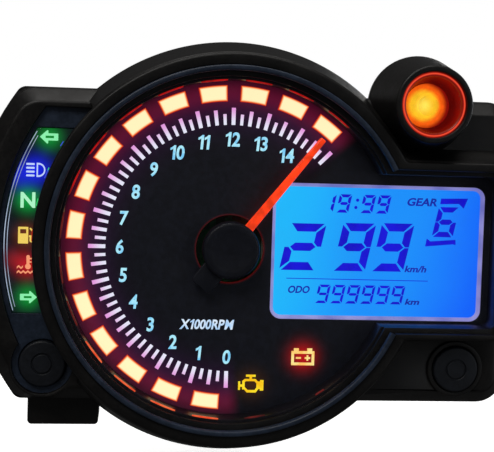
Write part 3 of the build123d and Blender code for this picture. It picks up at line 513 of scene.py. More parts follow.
def lettering(text: str, height: float, slant: float = 0.0, weight: float = 0.0, thick: float = 0.02) -> Shell:
    """Text as a thin closed surface, centred on the origin, with capitals of the given height.

    Args:
        text: the characters.
        height: height of the capitals or figures.
        slant: how far the tops lean to the right, as a share of the height.
        weight: how much the strokes grow, as a share of the height.
        thick: thickness of the print.

    Returns:
        The surface, from height 0 to thick.
    """
    curve = bpy.data.curves.new("lettering", "FONT")
    curve.body = text
    curve.size = 1.0
    curve.resolution_u = 4
    curve.offset = weight
    curve.extrude = 0.5
    holder = bpy.data.objects.new("lettering", curve)
    bpy.context.scene.collection.objects.link(holder)
    mesh = bpy.data.meshes.new_from_object(holder.evaluated_get(bpy.context.evaluated_depsgraph_get()))
    points = np.empty(len(mesh.vertices) * 3)
    mesh.vertices.foreach_get("co", points)
    points = points.reshape(-1, 3)
    faces = [list(face.vertices) for face in mesh.polygons]
    bpy.data.objects.remove(holder)
    bpy.data.curves.remove(curve)
    bpy.data.meshes.remove(mesh)
    low, high = points.min(axis=0), points.max(axis=0)
    scale = height / (high[1] - low[1])
    flat = (points[:, :2] - (low[:2] + high[:2]) / 2) * scale
    flat[:, 0] += flat[:, 1] * slant
    return Shell(np.column_stack([flat, (points[:, 2] + 0.5) * thick]), faces)


def tile(points: Array, low: float, thick: float = 0.03, holes: Sequence[Array] = ()) -> Shell:
    """A thin closed print with a plain outline."""
    return plate(inward(points), [outward(hole) for hole in holes], rim(low, low + thick, 0.0))


# ---- shader graphs
def linear(colour: Colour, gain: float = 1.0) -> tuple[float, float, float, float]:
    """A display colour of 0..255 as linear light: ((c + 0.055) / 1.055) ** 2.4 above 0.04045, else c / 12.92."""
    share = np.array(colour) / 255.0
    light = np.where(share <= 0.04045, share / 12.92, ((share + 0.055) / 1.055) ** 2.4)
    return (*(light * gain).tolist(), 1.0)


class Number:
    """A number in a shader; arithmetic on it adds Math nodes."""

    def __init__(self, graph: "Graph", socket: bpy.types.NodeSocket) -> None:
        """Wraps an output socket of a graph."""
        self.graph, self.socket = graph, socket

    def math(self, operation: str, *others: "Number | float", clamp: bool = False) -> "Number":
        """The result of a Math node on this number and others."""
        return self.graph.math(operation, self, *others, clamp=clamp)

    def __add__(self, other: "Number | float") -> "Number":
        """This number plus another."""
        return self.math("ADD", other)

    def __sub__(self, other: "Number | float") -> "Number":
        """This number less another."""
        return self.math("SUBTRACT", other)

    def __rsub__(self, other: float) -> "Number":
        """Another number less this one."""
        return self.graph.math("SUBTRACT", other, self)

    def __mul__(self, other: "Number | float") -> "Number":
        """This number times another."""
        return self.math("MULTIPLY", other)

    def __truediv__(self, other: "Number | float") -> "Number":
        """This number divided by another."""
        return self.math("DIVIDE", other)

    def __pow__(self, other: float) -> "Number":
        """This number to a power."""
        return self.math("POWER", other)

    __radd__ = __add__
    __rmul__ = __mul__

    def ramp(self, low: float, high: float, start: float = 0.0, end: float = 1.0) -> "Number":
        """Smoothly from start to end while this number goes from low to high."""
        socket = self.graph.node("ShaderNodeMapRange", {"interpolation_type": "SMOOTHSTEP"},
                                 {"Value": self, "From Min": low, "From Max": high, "To Min": start, "To Max": end})
        return Number(self.graph, socket.outputs["Result"])


class Nodes:
    """The nodes of a material or a world."""

    def __init__(self, owner: bpy.types.Material | bpy.types.World) -> None:
        """Empties the owner's node tree and takes it over."""
        self.made = owner
        owner.use_nodes = True
        self.tree = owner.node_tree
        self.tree.nodes.clear()

    def node(self, kind: str, settings: dict | None = None, sockets: dict | None = None) -> bpy.types.Node:
        """Adds a node.

        Args:
            kind: the node's type.
            settings: its own settings, set before its sockets.
            sockets: values or links by socket name or index.

        Returns:
            The new node.
        """
        made = self.tree.nodes.new(kind)
        for key, value in (settings or {}).items():
            setattr(made, key, value)
        for key, value in (sockets or {}).items():
            self.feed(made.inputs[key], value)
        return made

    def feed(self, socket: bpy.types.NodeSocket, value: object) -> None:
        """Links an output to a socket, or sets the socket's value."""
        source = value.socket if isinstance(value, Number) else value
        if isinstance(source, bpy.types.NodeSocket):
            self.tree.links.new(source, socket)
        else:
            socket.default_value = source


class Graph(Nodes):
    """The node tree of one material, built from nodes, numbers and colours."""

    def __init__(self, name: str) -> None:
        """Starts an empty material of that name."""
        super().__init__(bpy.data.materials.new(name))
        self.shader = self.node("ShaderNodeBsdfPrincipled")
        out = self.node("ShaderNodeOutputMaterial")
        self.tree.links.new(self.shader.outputs["BSDF"], out.inputs["Surface"])

    def set(self, **sockets: object) -> None:
        """Feeds the shader's sockets, named with underscores for spaces."""
        for key, value in sockets.items():
            self.feed(self.shader.inputs[key.replace("_", " ")], value)

    def math(self, operation: str, *values: "Number | float", clamp: bool = False) -> Number:
        """A Math node on numbers or values."""
        made = self.node("ShaderNodeMath", {"operation": operation, "use_clamp": clamp}, dict(enumerate(values)))
        return Number(self, made.outputs[0])

    def place(self) -> tuple[Number, Number, Number]:
        """Object coordinates in millimetres as x, z and height."""
        coordinates = self.node("ShaderNodeTexCoord").outputs["Object"]
        parts = self.node("ShaderNodeSeparateXYZ", None, {0: coordinates})
        x, y, z = (Number(self, parts.outputs[index]) for index in range(3))
        return x * 1000, z * 1000, y * -1000

    def noise(self, size: float, detail: float = 2.0, rough: float = 0.5) -> Number:
        """Soft noise from 0 to 1 whose lumps are about size millimetres across."""
        coordinates = self.node("ShaderNodeTexCoord").outputs["Object"]
        made = self.node("ShaderNodeTexNoise", None, {"Vector": coordinates, "Scale": 1000 / size,
                                                      "Detail": detail, "Roughness": rough})
        return Number(self, made.outputs[0])

    def blend(self, share: "Number | float", low: object, high: object) -> bpy.types.NodeSocket:
        """A colour between two colours."""
        made = self.node("ShaderNodeMix", {"data_type": "RGBA"}, {0: share, 6: low, 7: high})
        return made.outputs[2]

    def grain(self, size: float, depth: float, detail: float = 3.0) -> None:
        """Roughens the surface with a fine grain, its size and depth in millimetres."""
        bump = self.node("ShaderNodeBump", None, {"Strength": 1.0, "Distance": depth * MM,
                                                  "Height": self.noise(size, detail)})
        self.set(Normal=bump.outputs["Normal"])


# ---- finishes
class Finish:
    """A finish that is made once and shared by every piece that has it."""

    _made: dict = {}

    def material(self) -> bpy.types.Material:
        """The material of this finish."""
        key = repr(self)
        if key not in Finish._made:
            graph = Graph(type(self).__name__)
            self.paint(graph)
            Finish._made[key] = graph.made
        return Finish._made[key]

    def paint(self, graph: Graph) -> None:
        """Builds the finish's nodes."""
        raise NotImplementedError


@dataclass(frozen=True)
class Moulded(Finish):
    """Moulded plastic or rubber: a mottled colour, a fine spark-eroded grain and faint handling marks."""

    colour: Colour = (20, 20, 22)
    rubbed: Colour = (34, 32, 30)
    roughness: float = 0.5
    grain_size: float = 0.35
    grain_depth: float = 0.03
    gloss: float = 0.35

    def paint(self, graph: Graph) -> None:
        """Mottles the colour at two scales and varies the roughness with the marks."""
        marks = (graph.noise(9.0, 4.0, 0.6) * 0.6 + graph.noise(0.8, 2.0) * 0.4).ramp(0.38, 0.66)
        graph.set(Base_Color=graph.blend(marks, linear(self.colour), linear(self.rubbed)),
                  Roughness=marks * 0.14 + (self.roughness - 0.07))
        graph.shader.inputs["Specular IOR Level"].default_value = self.gloss
        graph.grain(self.grain_size, self.grain_depth)


@dataclass(frozen=True)
class Metal(Finish):
    """Plated or turned metal with fine lines and a little staining."""

    colour: Colour = (190, 190, 188)
    stain: Colour = (120, 118, 112)
    roughness: float = 0.3

    def paint(self, graph: Graph) -> None:
        """Streaks the roughness and stains the colour."""
        streak = graph.noise(0.5, 5.0, 0.7)
        stained = graph.noise(4.0, 4.0).ramp(0.45, 0.8)
        graph.set(Base_Color=graph.blend(stained, linear(self.colour), linear(self.stain)),
                  Roughness=streak * 0.25 + (self.roughness - 0.12), Metallic=1.0)
        graph.grain(0.15, 0.004)


@dataclass(frozen=True)
class Board(Finish):
    """A printed board: solder mask with copper tracks under it and bright pads."""

    mask: Colour = (10, 70, 38)
    track: Colour = (26, 104, 58)

    def paint(self, graph: Graph) -> None:
        """Draws tracks as the edges of square cells."""
        coordinates = graph.node("ShaderNodeTexCoord").outputs["Object"]
        cells = graph.node("ShaderNodeTexVoronoi", {"distance": "CHEBYCHEV"}, {"Vector": coordinates, "Scale": 260.0})
        tracks = Number(graph, cells.outputs["Distance"]).ramp(0.32, 0.36)
        graph.set(Base_Color=graph.blend(tracks, linear(self.mask), linear(self.track)),
                  Roughness=0.42 - tracks * 0.1)
        graph.grain(0.6, 0.01)


@dataclass(frozen=True)
class Glow(Finish):
    """An emissive surface, used for lit prints and lenses, for painted reflections and highlights, and for the pale
    floor: its own colour over a darker body, a little uneven.
    """

    colour: Colour = (255, 240, 185)
    dim: Colour = (235, 190, 120)
    strength: float = 1.0
    body: Colour = (40, 36, 30)
    lump: float = 3.0

    def paint(self, graph: Graph) -> None:
        """Mixes the two lights by soft noise."""
        share = graph.noise(self.lump, 2.0).ramp(0.35, 0.7)
        graph.set(Base_Color=graph.blend(share, linear(self.body), linear(self.body, 0.7)), Roughness=0.5,
                  Emission_Color=graph.blend(share, linear(self.colour), linear(self.dim)),
                  Emission_Strength=self.strength)


@dataclass(frozen=True)
class Clear(Finish):
    """A clear or smoked lens: glossy, nearly see-through, with faint dust."""

    colour: Colour = (30, 36, 52)
    cover: float = 0.03
    dust: float = 0.02
    roughness: float = 0.06
    gloss: float = 0.25

    def paint(self, graph: Graph) -> None:
        """Lets the dust thicken the lens a little here and there."""
        dust = graph.noise(14.0, 5.0, 0.65).ramp(0.45, 0.85)
        graph.set(Base_Color=graph.blend(dust, linear(self.colour), linear((90, 92, 100))),
                  Roughness=dust * 0.2 + self.roughness, Alpha=dust * self.dust + self.cover)
        graph.shader.inputs["Specular IOR Level"].default_value = self.gloss


@dataclass(frozen=True)
class Glass(Finish):
    """A coloured see-through moulding that glows by the light behind it."""

    colour: Colour = (255, 60, 20)
    light: Colour = (255, 70, 25)
    strength: float = 0.6
    cover: float = 0.6

    def paint(self, graph: Graph) -> None:
        """Brightens and thins the moulding unevenly."""
        share = graph.noise(2.5, 3.0).ramp(0.35, 0.7)
        graph.set(Base_Color=graph.blend(share, linear(self.colour), linear(self.colour, 0.6)), Roughness=0.16,
                  Emission_Color=graph.blend(share, linear(self.light), linear(self.light, 0.6)),
                  Emission_Strength=self.strength, Alpha=share * 0.1 + self.cover)


@dataclass(frozen=True)
class DialFace(Finish):
    """The printed dial: blue-black, with light bleeding round the segments, the tell-tales and the hub."""

    ink: Colour = (17, 20, 33)
    worn: Colour = (24, 28, 44)
    bleed: Colour = (84, 6, 22)
    violet: Colour = (44, 8, 50)
    red: Colour = (150, 10, 6)
    start: float = 180.0
    span: float = 225.0
    band: float = 43.3
    telltales: tuple = ()

    def paint(self, graph: Graph) -> None:
        """Adds the bleeding light as emission.

        Round the band the light falls as exp(-((r - band) / 4)^2), and past the band's ends it falls
        with the angle. Round a tell-tale at distance d it falls as exp(-(d / 4.2)^2).
        """
        x, z, _ = graph.place()
        radius = (x * x + z * z) ** 0.5
        clock = (graph.math("ARCTAN2", x, z) * (180 / np.pi) + (360 - self.start)).math("FLOORED_MODULO", 360)
        inside = clock.ramp(self.span - 2, self.span + 4, 1, 0).math("MAXIMUM", clock.ramp(354, 360))
        near = graph.math("EXPONENT", ((radius - self.band) / 3.3) ** 2 * -1.0) * inside
        wide = graph.math("EXPONENT", ((radius - self.band + 3.5) / 6.5) ** 2 * -1.0) * inside
        rim = radius.ramp(7.6, 8.4) * radius.ramp(8.6, 10.2, 1, 0)
        light = graph.blend(near.math("MINIMUM", 1), (0, 0, 0, 1), linear(self.bleed))
        light = self.plus(graph, light, self.violet, wide * 0.65)
        light = self.plus(graph, light, self.red, rim * 0.5)
        for (spot_x, spot_z), colour, reach in self.telltales:
            away = (x - spot_x) ** 2 + (z - spot_z) ** 2
            light = self.plus(graph, light, colour, graph.math("EXPONENT", away * (-1 / reach**2)))
        mottle = graph.noise(1.4, 3.0).ramp(0.35, 0.7)
        graph.set(Base_Color=graph.blend(mottle, linear(self.ink), linear(self.worn)),
                  Roughness=mottle * 0.08 + 0.5, Emission_Color=light, Emission_Strength=1.0)
        graph.grain(0.22, 0.006)

    @staticmethod
    def plus(graph: Graph, light: object, colour: Colour, share: Number) -> bpy.types.NodeSocket:
        """Adds a share of a colour to a light."""
        made = graph.node("ShaderNodeMix", {"data_type": "RGBA", "blend_type": "ADD"},
                          {0: share, 6: light, 7: linear(colour)})
        return made.outputs[2]


@dataclass(frozen=True)
class SegmentLight(Finish):
    """A lit tachometer segment: cream in the middle, orange and red towards its edges."""

    core: Colour = (255, 243, 190)
    edge: Colour = (255, 120, 40)
    rim: Colour = (190, 20, 10)
    inner: float = 41.1
    outer: float = 45.6
    pitch: float = 15.0
    width: float = 10.2

    def paint(self, graph: Graph) -> None:
        """Colours by the distance to the nearest edge.

        Across, that is the smaller of r - inner and outer - r. Along, it is r times the angle left
        to the segment's end, with the angle taken modulo the pitch.
        """
        x, z, _ = graph.place()
        radius = (x * x + z * z) ** 0.5
        clock = (graph.math("ARCTAN2", x, z) * (180 / np.pi) + 360).math("FLOORED_MODULO", self.pitch)
        along = (self.width / 2 - (clock - self.pitch / 2).math("ABSOLUTE")) * radius * (np.pi / 180)
        across = (radius - self.inner).math("MINIMUM", self.outer - radius)
        depth = across.math("MINIMUM", along)
        glow = graph.blend(depth.ramp(0.0, 0.35), linear(self.rim), linear(self.edge))
        glow = graph.blend(depth.ramp(0.15, 0.75), glow, linear(self.core))
        graph.set(Base_Color=graph.blend(depth.ramp(0, 1), linear((120, 60, 30)), linear((160, 140, 100))),
                  Roughness=graph.noise(0.6) * 0.2 + 0.4, Emission_Color=glow, Emission_Strength=1.05)


@dataclass(frozen=True)
class TickLight(Finish):
    """The scale's ticks: lavender-white, pinker towards their outer ends."""

    inner: Colour = (236, 236, 255)
    outer: Colour = (236, 150, 226)
    low: float = 34.6
    high: float = 39.4

    def paint(self, graph: Graph) -> None:
        """Colours by the distance from the dial's axis."""
        x, z, _ = graph.place()
        radius = (x * x + z * z) ** 0.5
        share = (radius - graph.noise(2.0) * 0.6).ramp(self.low, self.high)
        graph.set(Base_Color=graph.blend(share, linear((120, 120, 130)), linear((120, 100, 120))), Roughness=0.5,
                  Emission_Color=graph.blend(share, linear(self.inner), linear(self.outer)), Emission_Strength=0.95)


@dataclass(frozen=True)
class PanelLight(Finish):
    """The display's backlight: cyan-blue by its lamps on the left, deeper blue away from them."""

    bright: Colour = (30, 186, 255)
    middle: Colour = (26, 146, 255)
    deep: Colour = (18, 96, 255)
    left: float = 11.8
    right: float = 72.7

    def paint(self, graph: Graph) -> None:
        """Blends by the distance from the left edge, with the lower right corner deepest."""
        x, z, _ = graph.place()
        share = (x - self.left) / (self.right - self.left) - z * 0.004 + graph.noise(22.0, 2.0) * 0.12 - 0.06
        light = graph.blend(share.ramp(0.0, 0.55), linear(self.bright), linear(self.middle))
        light = graph.blend(share.ramp(0.6, 1.1), light, linear(self.deep))
        weave = graph.noise(0.35, 2.0)
        graph.set(Base_Color=graph.blend(share.ramp(0, 1), linear((20, 60, 90)), linear((12, 40, 90))),
                  Roughness=weave * 0.1 + 0.25, Emission_Color=light, Emission_Strength=1.0)


@dataclass(frozen=True)
class HaloFilm(Finish):
    """The tell-tale film: black, with a soft halo of its own colour round each lit symbol."""

    halos: tuple = ()
    ink: Colour = (10, 16, 26)

    def paint(self, graph: Graph) -> None:
        """Adds exp(-(d / reach)^2) of each halo's colour, where d is the distance to the symbol's middle."""
        x, z, _ = graph.place()
        light = graph.blend(graph.noise(5.0).ramp(0.3, 0.8), linear(self.ink, 0.4), linear((20, 34, 52), 0.5))
        for (spot_x, spot_z), colour, reach in self.halos:
            away = (x - spot_x) ** 2 + (z - spot_z) ** 2
            light = DialFace.plus(graph, light, colour, graph.math("EXPONENT", away * (-1 / reach**2)))
        graph.set(Base_Color=graph.blend(graph.noise(0.5), linear(self.ink), linear((20, 24, 34))), Roughness=0.4,
                  Emission_Color=light, Emission_Strength=1.0)


@dataclass(frozen=True)
class LampLight(Finish):
    """The shift lamp's inside: bright amber off-centre, through orange to dark red at the rim."""

    centre: tuple[float, float] = (0.0, 0.0)
    shift: tuple[float, float] = (-1.0, 0.0)
    reach: float = 8.0
    stops: tuple = ((0.0, (255, 224, 70)), (0.42, (255, 176, 24)), (0.75, (250, 96, 14)), (1.0, (150, 14, 6)))
    strength: float = 1.0
    ridged: float = 0.0
    mottle: float = 0.16

    def paint(self, graph: Graph) -> None:
        """Colours by the distance from a point beside the lamp's axis, as a share of the reach."""
        x, z, _ = graph.place()
        away_x, away_z = x - (self.centre[0] + self.shift[0]), z - (self.centre[1] + self.shift[1])
        share = (away_x * away_x + away_z * away_z) ** 0.5 / self.reach
        share = share + (graph.noise(1.2, 3.0) - 0.5) * self.mottle
        light: object = linear(self.stops[0][1])
        for (low, _), (high, colour) in zip(self.stops, self.stops[1:]):
            light = graph.blend(share.ramp(low, high), light, linear(colour))
        graph.set(Base_Color=graph.blend(share.ramp(0, 1), linear((200, 90, 20)), linear((70, 8, 6))),
                  Roughness=graph.noise(0.8) * 0.15 + 0.15, Emission_Color=light, Emission_Strength=self.strength)
        if self.ridged:
            graph.grain(self.ridged, 0.05, 1.0)


# ---- shared finishes
CASE_BLACK = Moulded((12, 11, 11), (22, 20, 19), 0.44, 0.3, 0.03)
# SLATE is the bezel ring's colour, and also serves as a painted sheen on the black cover's recess floor
SLATE = Moulded((36, 46, 62), (50, 62, 82), 0.4, 0.3, 0.012)
WELL_BLACK = Moulded((14, 13, 18), (24, 20, 28), 0.38, 0.5, 0.01)
RUBBER_BLACK = Moulded((13, 13, 14), (22, 22, 23), 0.62, 0.5, 0.03, 0.35)
BUTTON_BLACK = Moulded((18, 21, 27), (27, 31, 39), 0.5, 0.4, 0.02)
HUB_BLACK = Moulded((17, 19, 28), (23, 26, 38), 0.48, 0.4, 0.008)
WHITE_PLASTIC = Moulded((226, 224, 216), (206, 203, 192), 0.5, 0.6, 0.01)
CHIP_BLACK = Moulded((24, 24, 26), (34, 34, 36), 0.6, 0.2, 0.01)
SWITCH_GREY = Moulded((58, 58, 60), (72, 72, 74), 0.5)
GEAR_WHITE = Moulded((232, 228, 214), (214, 208, 190), 0.42, 0.4, 0.004)
STEEL = Metal((182, 184, 186), (132, 130, 126), 0.28)
TIN = Metal((206, 206, 200), (170, 168, 160), 0.24)
COPPER = Metal((196, 108, 66), (150, 78, 46), 0.34)
ALUMINIUM = Metal((196, 198, 202), (166, 168, 172), 0.36)
# painted reflection: the chrome lamp reflector is given a red metal colour to show the lamp's red light in it
PAINTED_RED_REFLECTION = Metal((120, 16, 10), (84, 8, 6), 0.24)
MAGNET_GREY = Metal((92, 92, 96), (66, 66, 70), 0.45)

SLOT_FINISH: dict[str, Finish] = {
    "housing": CASE_BLACK, "bezel": SLATE, "clear_lens": Clear(), "smoke_lens": Clear((40, 50, 70), 0.2),
    "dial": WELL_BLACK, "well": WELL_BLACK, "light_guide": Glow(),
    "clear_acrylic": Glass((200, 205, 210), (90, 20, 20), 0.2, 0.4),
    "white_plastic": WHITE_PLASTIC, "led": Glow((255, 244, 214), (255, 214, 150), 0.9), "lcd_glass": PanelLight(),
    "lcd_light": Glow((60, 170, 255), (40, 130, 250), 0.9), "board": Board(), "chip": CHIP_BLACK, "can": ALUMINIUM,
    "steel": STEEL, "pins": TIN, "copper": COPPER, "rubber": RUBBER_BLACK, "button": BUTTON_BLACK,
    "switch": SWITCH_GREY, "film": HaloFilm(), "needle": Glass(), "hub": HUB_BLACK, "gear": GEAR_WHITE,
    "magnet": MAGNET_GREY, "motor_case": SWITCH_GREY, "amber": Glass((255, 150, 30), (255, 140, 20), 0.8, 0.8),
    "red_glass": Glass((230, 30, 16), (255, 40, 20), 0.5, 0.6), "reflector": PAINTED_RED_REFLECTION,
}


def dress_frame() -> None:
    """Gives every CAD node the finish of its material slot."""
    for part in frame["record"]["subparts"]:
        node = frame["nodes"][part["node"]]
        finish = SLOT_FINISH[part["material_slot"]].material()
        node.data.materials.clear()
        node.data.materials.append(finish)
        LOG.info("%s: CAD node dressed as %s", node.name, part["material_slot"])


# ---- case
@dataclass
class Case:
    """The front cover: two wings, the hood with the display's surround, and the tell-tale recess."""

    half_high: float = 43.5
    left_radius: float = 72.96
    right_edge: float = 81.0
    left_corner: float = 3.0
    right_corner: float = 8.0
    wing_edge: float = 24.6
    wing_top: float = 28.5
    wing_draft: float = 0.3
    wing_chamfer: float = 4.2
    wing_roof: float = 25.2
    wall: float = 2.4
    hood_radius: float = 57.7
    lip_radius: float = 53.8
    hood_edge: float = 0.8
    bore: float = 52.0
    seat: float = 34.75
    ledge: float = 1.55
    block_left: float = 30.0
    block_base: tuple = (80.8, -24.4, 29.7)
    block_face: tuple = (79.3, -23.4, 26.0)
    block_corner: float = 3.0
    trim: float = 53.85
    recess_radius: float = 63.8
    recess_high: float = 38.0
    recess_floor: float = 26.8
    keyhole: float = 8.4
    lip: float = 0.75
    inner_radius: float = 51.8
    window: tuple = (53.95, 62.6, -19.0, 32.3)
    button_gap: float = 0.25
    boss_radius: float = 8.0
    boss_top: float = 29.2
    low: float = field(init=False)
    top: float = field(init=False)

    def __post_init__(self) -> None:
        """Reads the cover's heights from the frame."""
        self.low, self.top = low_of("front_cover"), high_of("front_cover")

    # ---- outlines
    def left_wing(self, inset: float) -> Array:
        """The left wing's edge: an arc about the dial cut level above and below, with small corners.

        The inner side is an arc inside the hood's wall, which the inset doesn't move.
        """
        reach = self.left_radius - inset
        tall = self.half_high - inset
        spot = centre_of("left_button")

        def distance(p: Array) -> Array:
            """Overlap of the disc and the band between the level edges, with a lip kept round the keyhole."""
            wing = round_both(np.linalg.norm(p, axis=-1) - reach, np.abs(p[:, 1]) - tall, self.left_corner)
            return np.minimum(wing, np.linalg.norm(p - spot, axis=-1) - self.keyhole - self.lip)

        span = 50.4
        crowded = np.concatenate([np.linspace(270 - span, 270 - 40, 26), np.linspace(270 - 40, 270 - 30, 30)[1:],
                                  np.linspace(240, 300, 70)[1:-1], np.linspace(300, 310, 30)[:-1],
                                  np.linspace(310, 270 + span, 26)])
        edge = star(distance, crowded)
        reach = np.linalg.norm(edge, axis=1)
        edge *= (np.maximum(reach, self.inner_radius + 0.3) / reach)[:, None]
        return np.concatenate([edge, arc((0, 0), self.inner_radius, 270 + span, 270 - span, 60)])

    def right_wing(self, inset: float, above: bool) -> Array:
        """The right wing's edge above or below the display's surround, ending inside the hood's wall.

        Only the outer edges and the level one move in with the inset; the inner arc has a fixed radius.
        """
        tall, right, corner_r = self.half_high - inset, self.right_edge - inset, self.right_corner - inset
        near, side = (27.0, 1.0) if above else (23.4, -1.0)
        start = max(34.2, ((self.inner_radius + 0.3) ** 2 - tall**2) ** 0.5)
        outer = rounded([(start, tall, 0), (right, tall, corner_r), (right, near, 0)], 14)
        low, high = (level_clock(level, self.inner_radius) for level in (tall + 0.5, near))
        loop = np.concatenate([outer, arc((0, 0), self.inner_radius, high, min(low, 38.0), 40)])
        return loop * (1.0, side)

    def upper(self, height: float, inset: float = 0.0) -> Callable[[Array], Array]:
        """Signed distance to the hood at a height, with the display's surround joined to it.

        Args:
            height: the height.
            inset: how far the outline is drawn in.

        Returns:
            The distance as a function of points.
        """
        rise = (height - self.low) / (self.top - self.low)
        radius = self.hood_radius + (self.lip_radius - self.hood_radius) * rise - inset
        share = np.clip((height - self.wing_top) / (self.top - self.wing_top), 0, 1)
        right, low, high = (a + (b - a) * share for a, b in zip(self.block_base, self.block_face))

        def distance(p: Array) -> Array:
            """The smaller of the two distances, with a little fillet where the shapes meet."""
            round_part = np.linalg.norm(p, axis=-1) - radius
            flat = box_distance(p, self.block_left, right - inset, low + inset, high - inset, self.block_corner)
            return -round_both(-round_part, -flat, 0.8)

        return distance

    def opening(self, radius: float, margin: float) -> Array:
        """The dial opening: a circle with the display's rectangle running out to the right.

        Args:
            radius: the circle's radius.
            margin: how far the rectangle is drawn in.

        Returns:
            The outline's points, one for each ray.
        """
        low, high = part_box("dial_lens")
        right, bottom, top = high.x / MM, self.tongue[0], self.tongue[1]

        def distance(p: Array) -> Array:
            """The smaller of the distances to the circle and the rectangle."""
            flat = box_distance(p, -5.0, right - margin, bottom + margin, top - margin, 2.5)
            return np.minimum(np.linalg.norm(p, axis=-1) - radius, flat)

        return star(distance, self.rays)

    @property
    def tongue(self) -> tuple[float, float]:
        """Lower and upper edge of the lens where it runs out to the right."""
        return (-21.5, 23.5)

    @property
    def rays(self) -> Array:
        """Clock angles of the rays, close together where the outlines turn."""
        turns = [(58, 64), (70, 76.5), (104, 110), (112, 119)]
        parts, last = [], 0.0
        for low, high in turns:
            parts += [np.arange(last, low, 1.0), np.arange(low, high, 0.12)]
            last = high
        return np.concatenate(parts + [np.arange(last, 360, 1.0)])

    def recess(self) -> Array:
        """The recess round the tell-tales: a band beside the hood that ends in a keyhole round the button.

        Returns:
            The outline's points (n, 2).
        """
        spot = centre_of("left_button")
        reach = float(np.hypot(*spot))
        toward = bearing(spot)

        def meeting(radius: float) -> float:
            """Angle at the dial between the button and the keyhole's crossing with a circle."""
            share = (reach**2 + radius**2 - self.keyhole**2) / (2 * reach * radius)
            return float(np.degrees(np.arccos(share)))

        outer_top = 360 - level_clock(self.recess_high, self.recess_radius)
        inner_top = 360 - level_clock(self.recess_high, self.trim)
        outer_end, inner_end = toward + meeting(self.recess_radius), toward - meeting(self.trim)
        side = arc((0, 0), self.recess_radius, outer_top, outer_end, 50)
        inside = arc((0, 0), self.trim - 0.4, inner_end, inner_top, 60)
        first, last = side[-1] - spot, polar(self.trim, inner_end) - spot
        start, end = bearing(first), bearing(last)
        loop = arc(spot, self.keyhole, start, end - 360 if end > start else end, 46)
        return np.concatenate([side, loop[1:], inside])

    # ---- surfaces
    def wing(self, outline: Edge, holes: Sequence[Edge]) -> Shell:
        """A wing: a thin shell with a broad front chamfer and softened edges.

        Args:
            outline: the wing's edge.
            holes: edges of its holes.

        Returns:
            The closed shell.
        """
        inner = self.wall + self.wing_draft
        slope = [(self.wing_draft + 0.02, self.wing_edge - 0.5), (self.wing_draft + 0.12, self.wing_edge - 0.12),
                 (self.wing_draft + 0.35, self.wing_edge + 0.2),
                 (self.wing_chamfer - 0.45, self.wing_top - 0.42), (self.wing_chamfer - 0.15, self.wing_top - 0.16),
                 (self.wing_chamfer + 0.15, self.wing_top - 0.03), (self.wing_chamfer + 0.5, self.wing_top)]
        edge = [(inner, self.wing_roof), (inner, self.low), (0.0, self.low)] + slope
        bore = [(0.0, self.wing_roof), (0.0, self.wing_top - 0.35), (0.1, self.wing_top - 0.1),
                (0.35, self.wing_top)]
        return plate(outline, holes, edge, bore)

    def left(self) -> Shell:
        """The left wing with its recess."""
        return self.wing(self.left_wing, [outward(self.recess())])

    def right(self) -> Shell:
        """The right wing with its button hole."""
        hole = ring_points(centre_of("right_button"), self.boss_radius - 0.4, 72)
        low = self.wing(lambda inset: self.right_wing(inset, False), [outward(hole)])
        return joined([low, self.wing(lambda inset: self.right_wing(inset, True), [])])

    def boss(self) -> Shell:
        """The raised collar round the right button.

        Returns:
            The turned collar.
        """
        hole = self.cap + self.button_gap
        profile = [(hole, self.wing_roof), (self.boss_radius, self.wing_roof)]
        profile += [(self.boss_radius, self.wing_top - 0.1)]
        profile += corner(self.boss_radius - 0.3, self.boss_top - 0.3, 0.3, 0, 90)
        profile += corner(hole + 0.25, self.boss_top - 0.25, 0.25, 90, 180) + [(hole, self.wing_roof)]
        return lathe(profile, centre_of("right_button"))

    @property
    def cap(self) -> float:
        """Radius of a button's cap."""
        return reach_of("right_button") - 0.8

    def floor(self) -> Shell:
        """The recess's floor, with the tell-tales' window and the left button's hole.

        Returns:
            The closed plate.
        """
        inner, outer, low, high = self.window
        loop = level_band(inner, outer, low, high, 50)
        hole = ring_points(centre_of("left_button"), self.cap + self.button_gap, 72)
        edge = rim(self.wing_roof, self.recess_floor, 0.0)
        bore = rim(self.wing_roof, self.recess_floor, 0.2)
        return plate(lambda depth: offset(self.recess(), 0.5), [outward(loop), outward(hole)], edge, bore)

    def hood(self) -> Shell:
        """The hood and the display's surround: one closed section carried round the dial's axis.

        Each row joins the outline's radius at one height to the next, so the flank leans in, the rim
        is rounded, and the lens's seat steps down inside it.
        """
        trim_low, trim_high = 228.0, 314.9
        rays = self.rays
        beside = (rays > trim_low) & (rays < trim_high)

        def outline(height: float, inset: float = 0.0) -> Array:
            """The outer edge at a height."""
            loop = star(self.upper(height, inset), rays)
            reach = np.linalg.norm(loop, axis=1)
            return polar(np.where(beside, np.minimum(reach, self.trim - inset), reach), rays)

        rows = [at(outline(height), height) for height in (self.low, self.wing_top - 0.3)]
        edge = self.top - self.hood_edge
        for height in np.linspace(self.wing_top - 0.2, edge, 4):
            rows.append(at(outline(height), height))
        for turn in np.linspace(15, 90, 6):
            depth = self.hood_edge * (1 - cos(radians(turn)))
            rows.append(at(outline(self.top, depth), self.top - self.hood_edge * (1 - sin(radians(turn)))))
        steps = [(50.9, -0.4, self.top), (50.7, -0.2, self.top - 0.08), (50.6, -0.1, self.top - 0.3),
                 (50.6, -0.1, self.seat), (47.8, 1.1, self.seat), (47.65, 1.25, self.seat - 0.06),
                 (47.6, 1.3, self.seat - 0.25), (47.6, 1.3, self.seat - self.ledge)]
        rows += [at(self.opening(radius, margin), height) for radius, margin, height in steps]
        rows += [at(self.opening(self.bore, -1.0), height) for height in (self.seat - self.ledge, self.low)]
        return stacked(rows, looped=True)

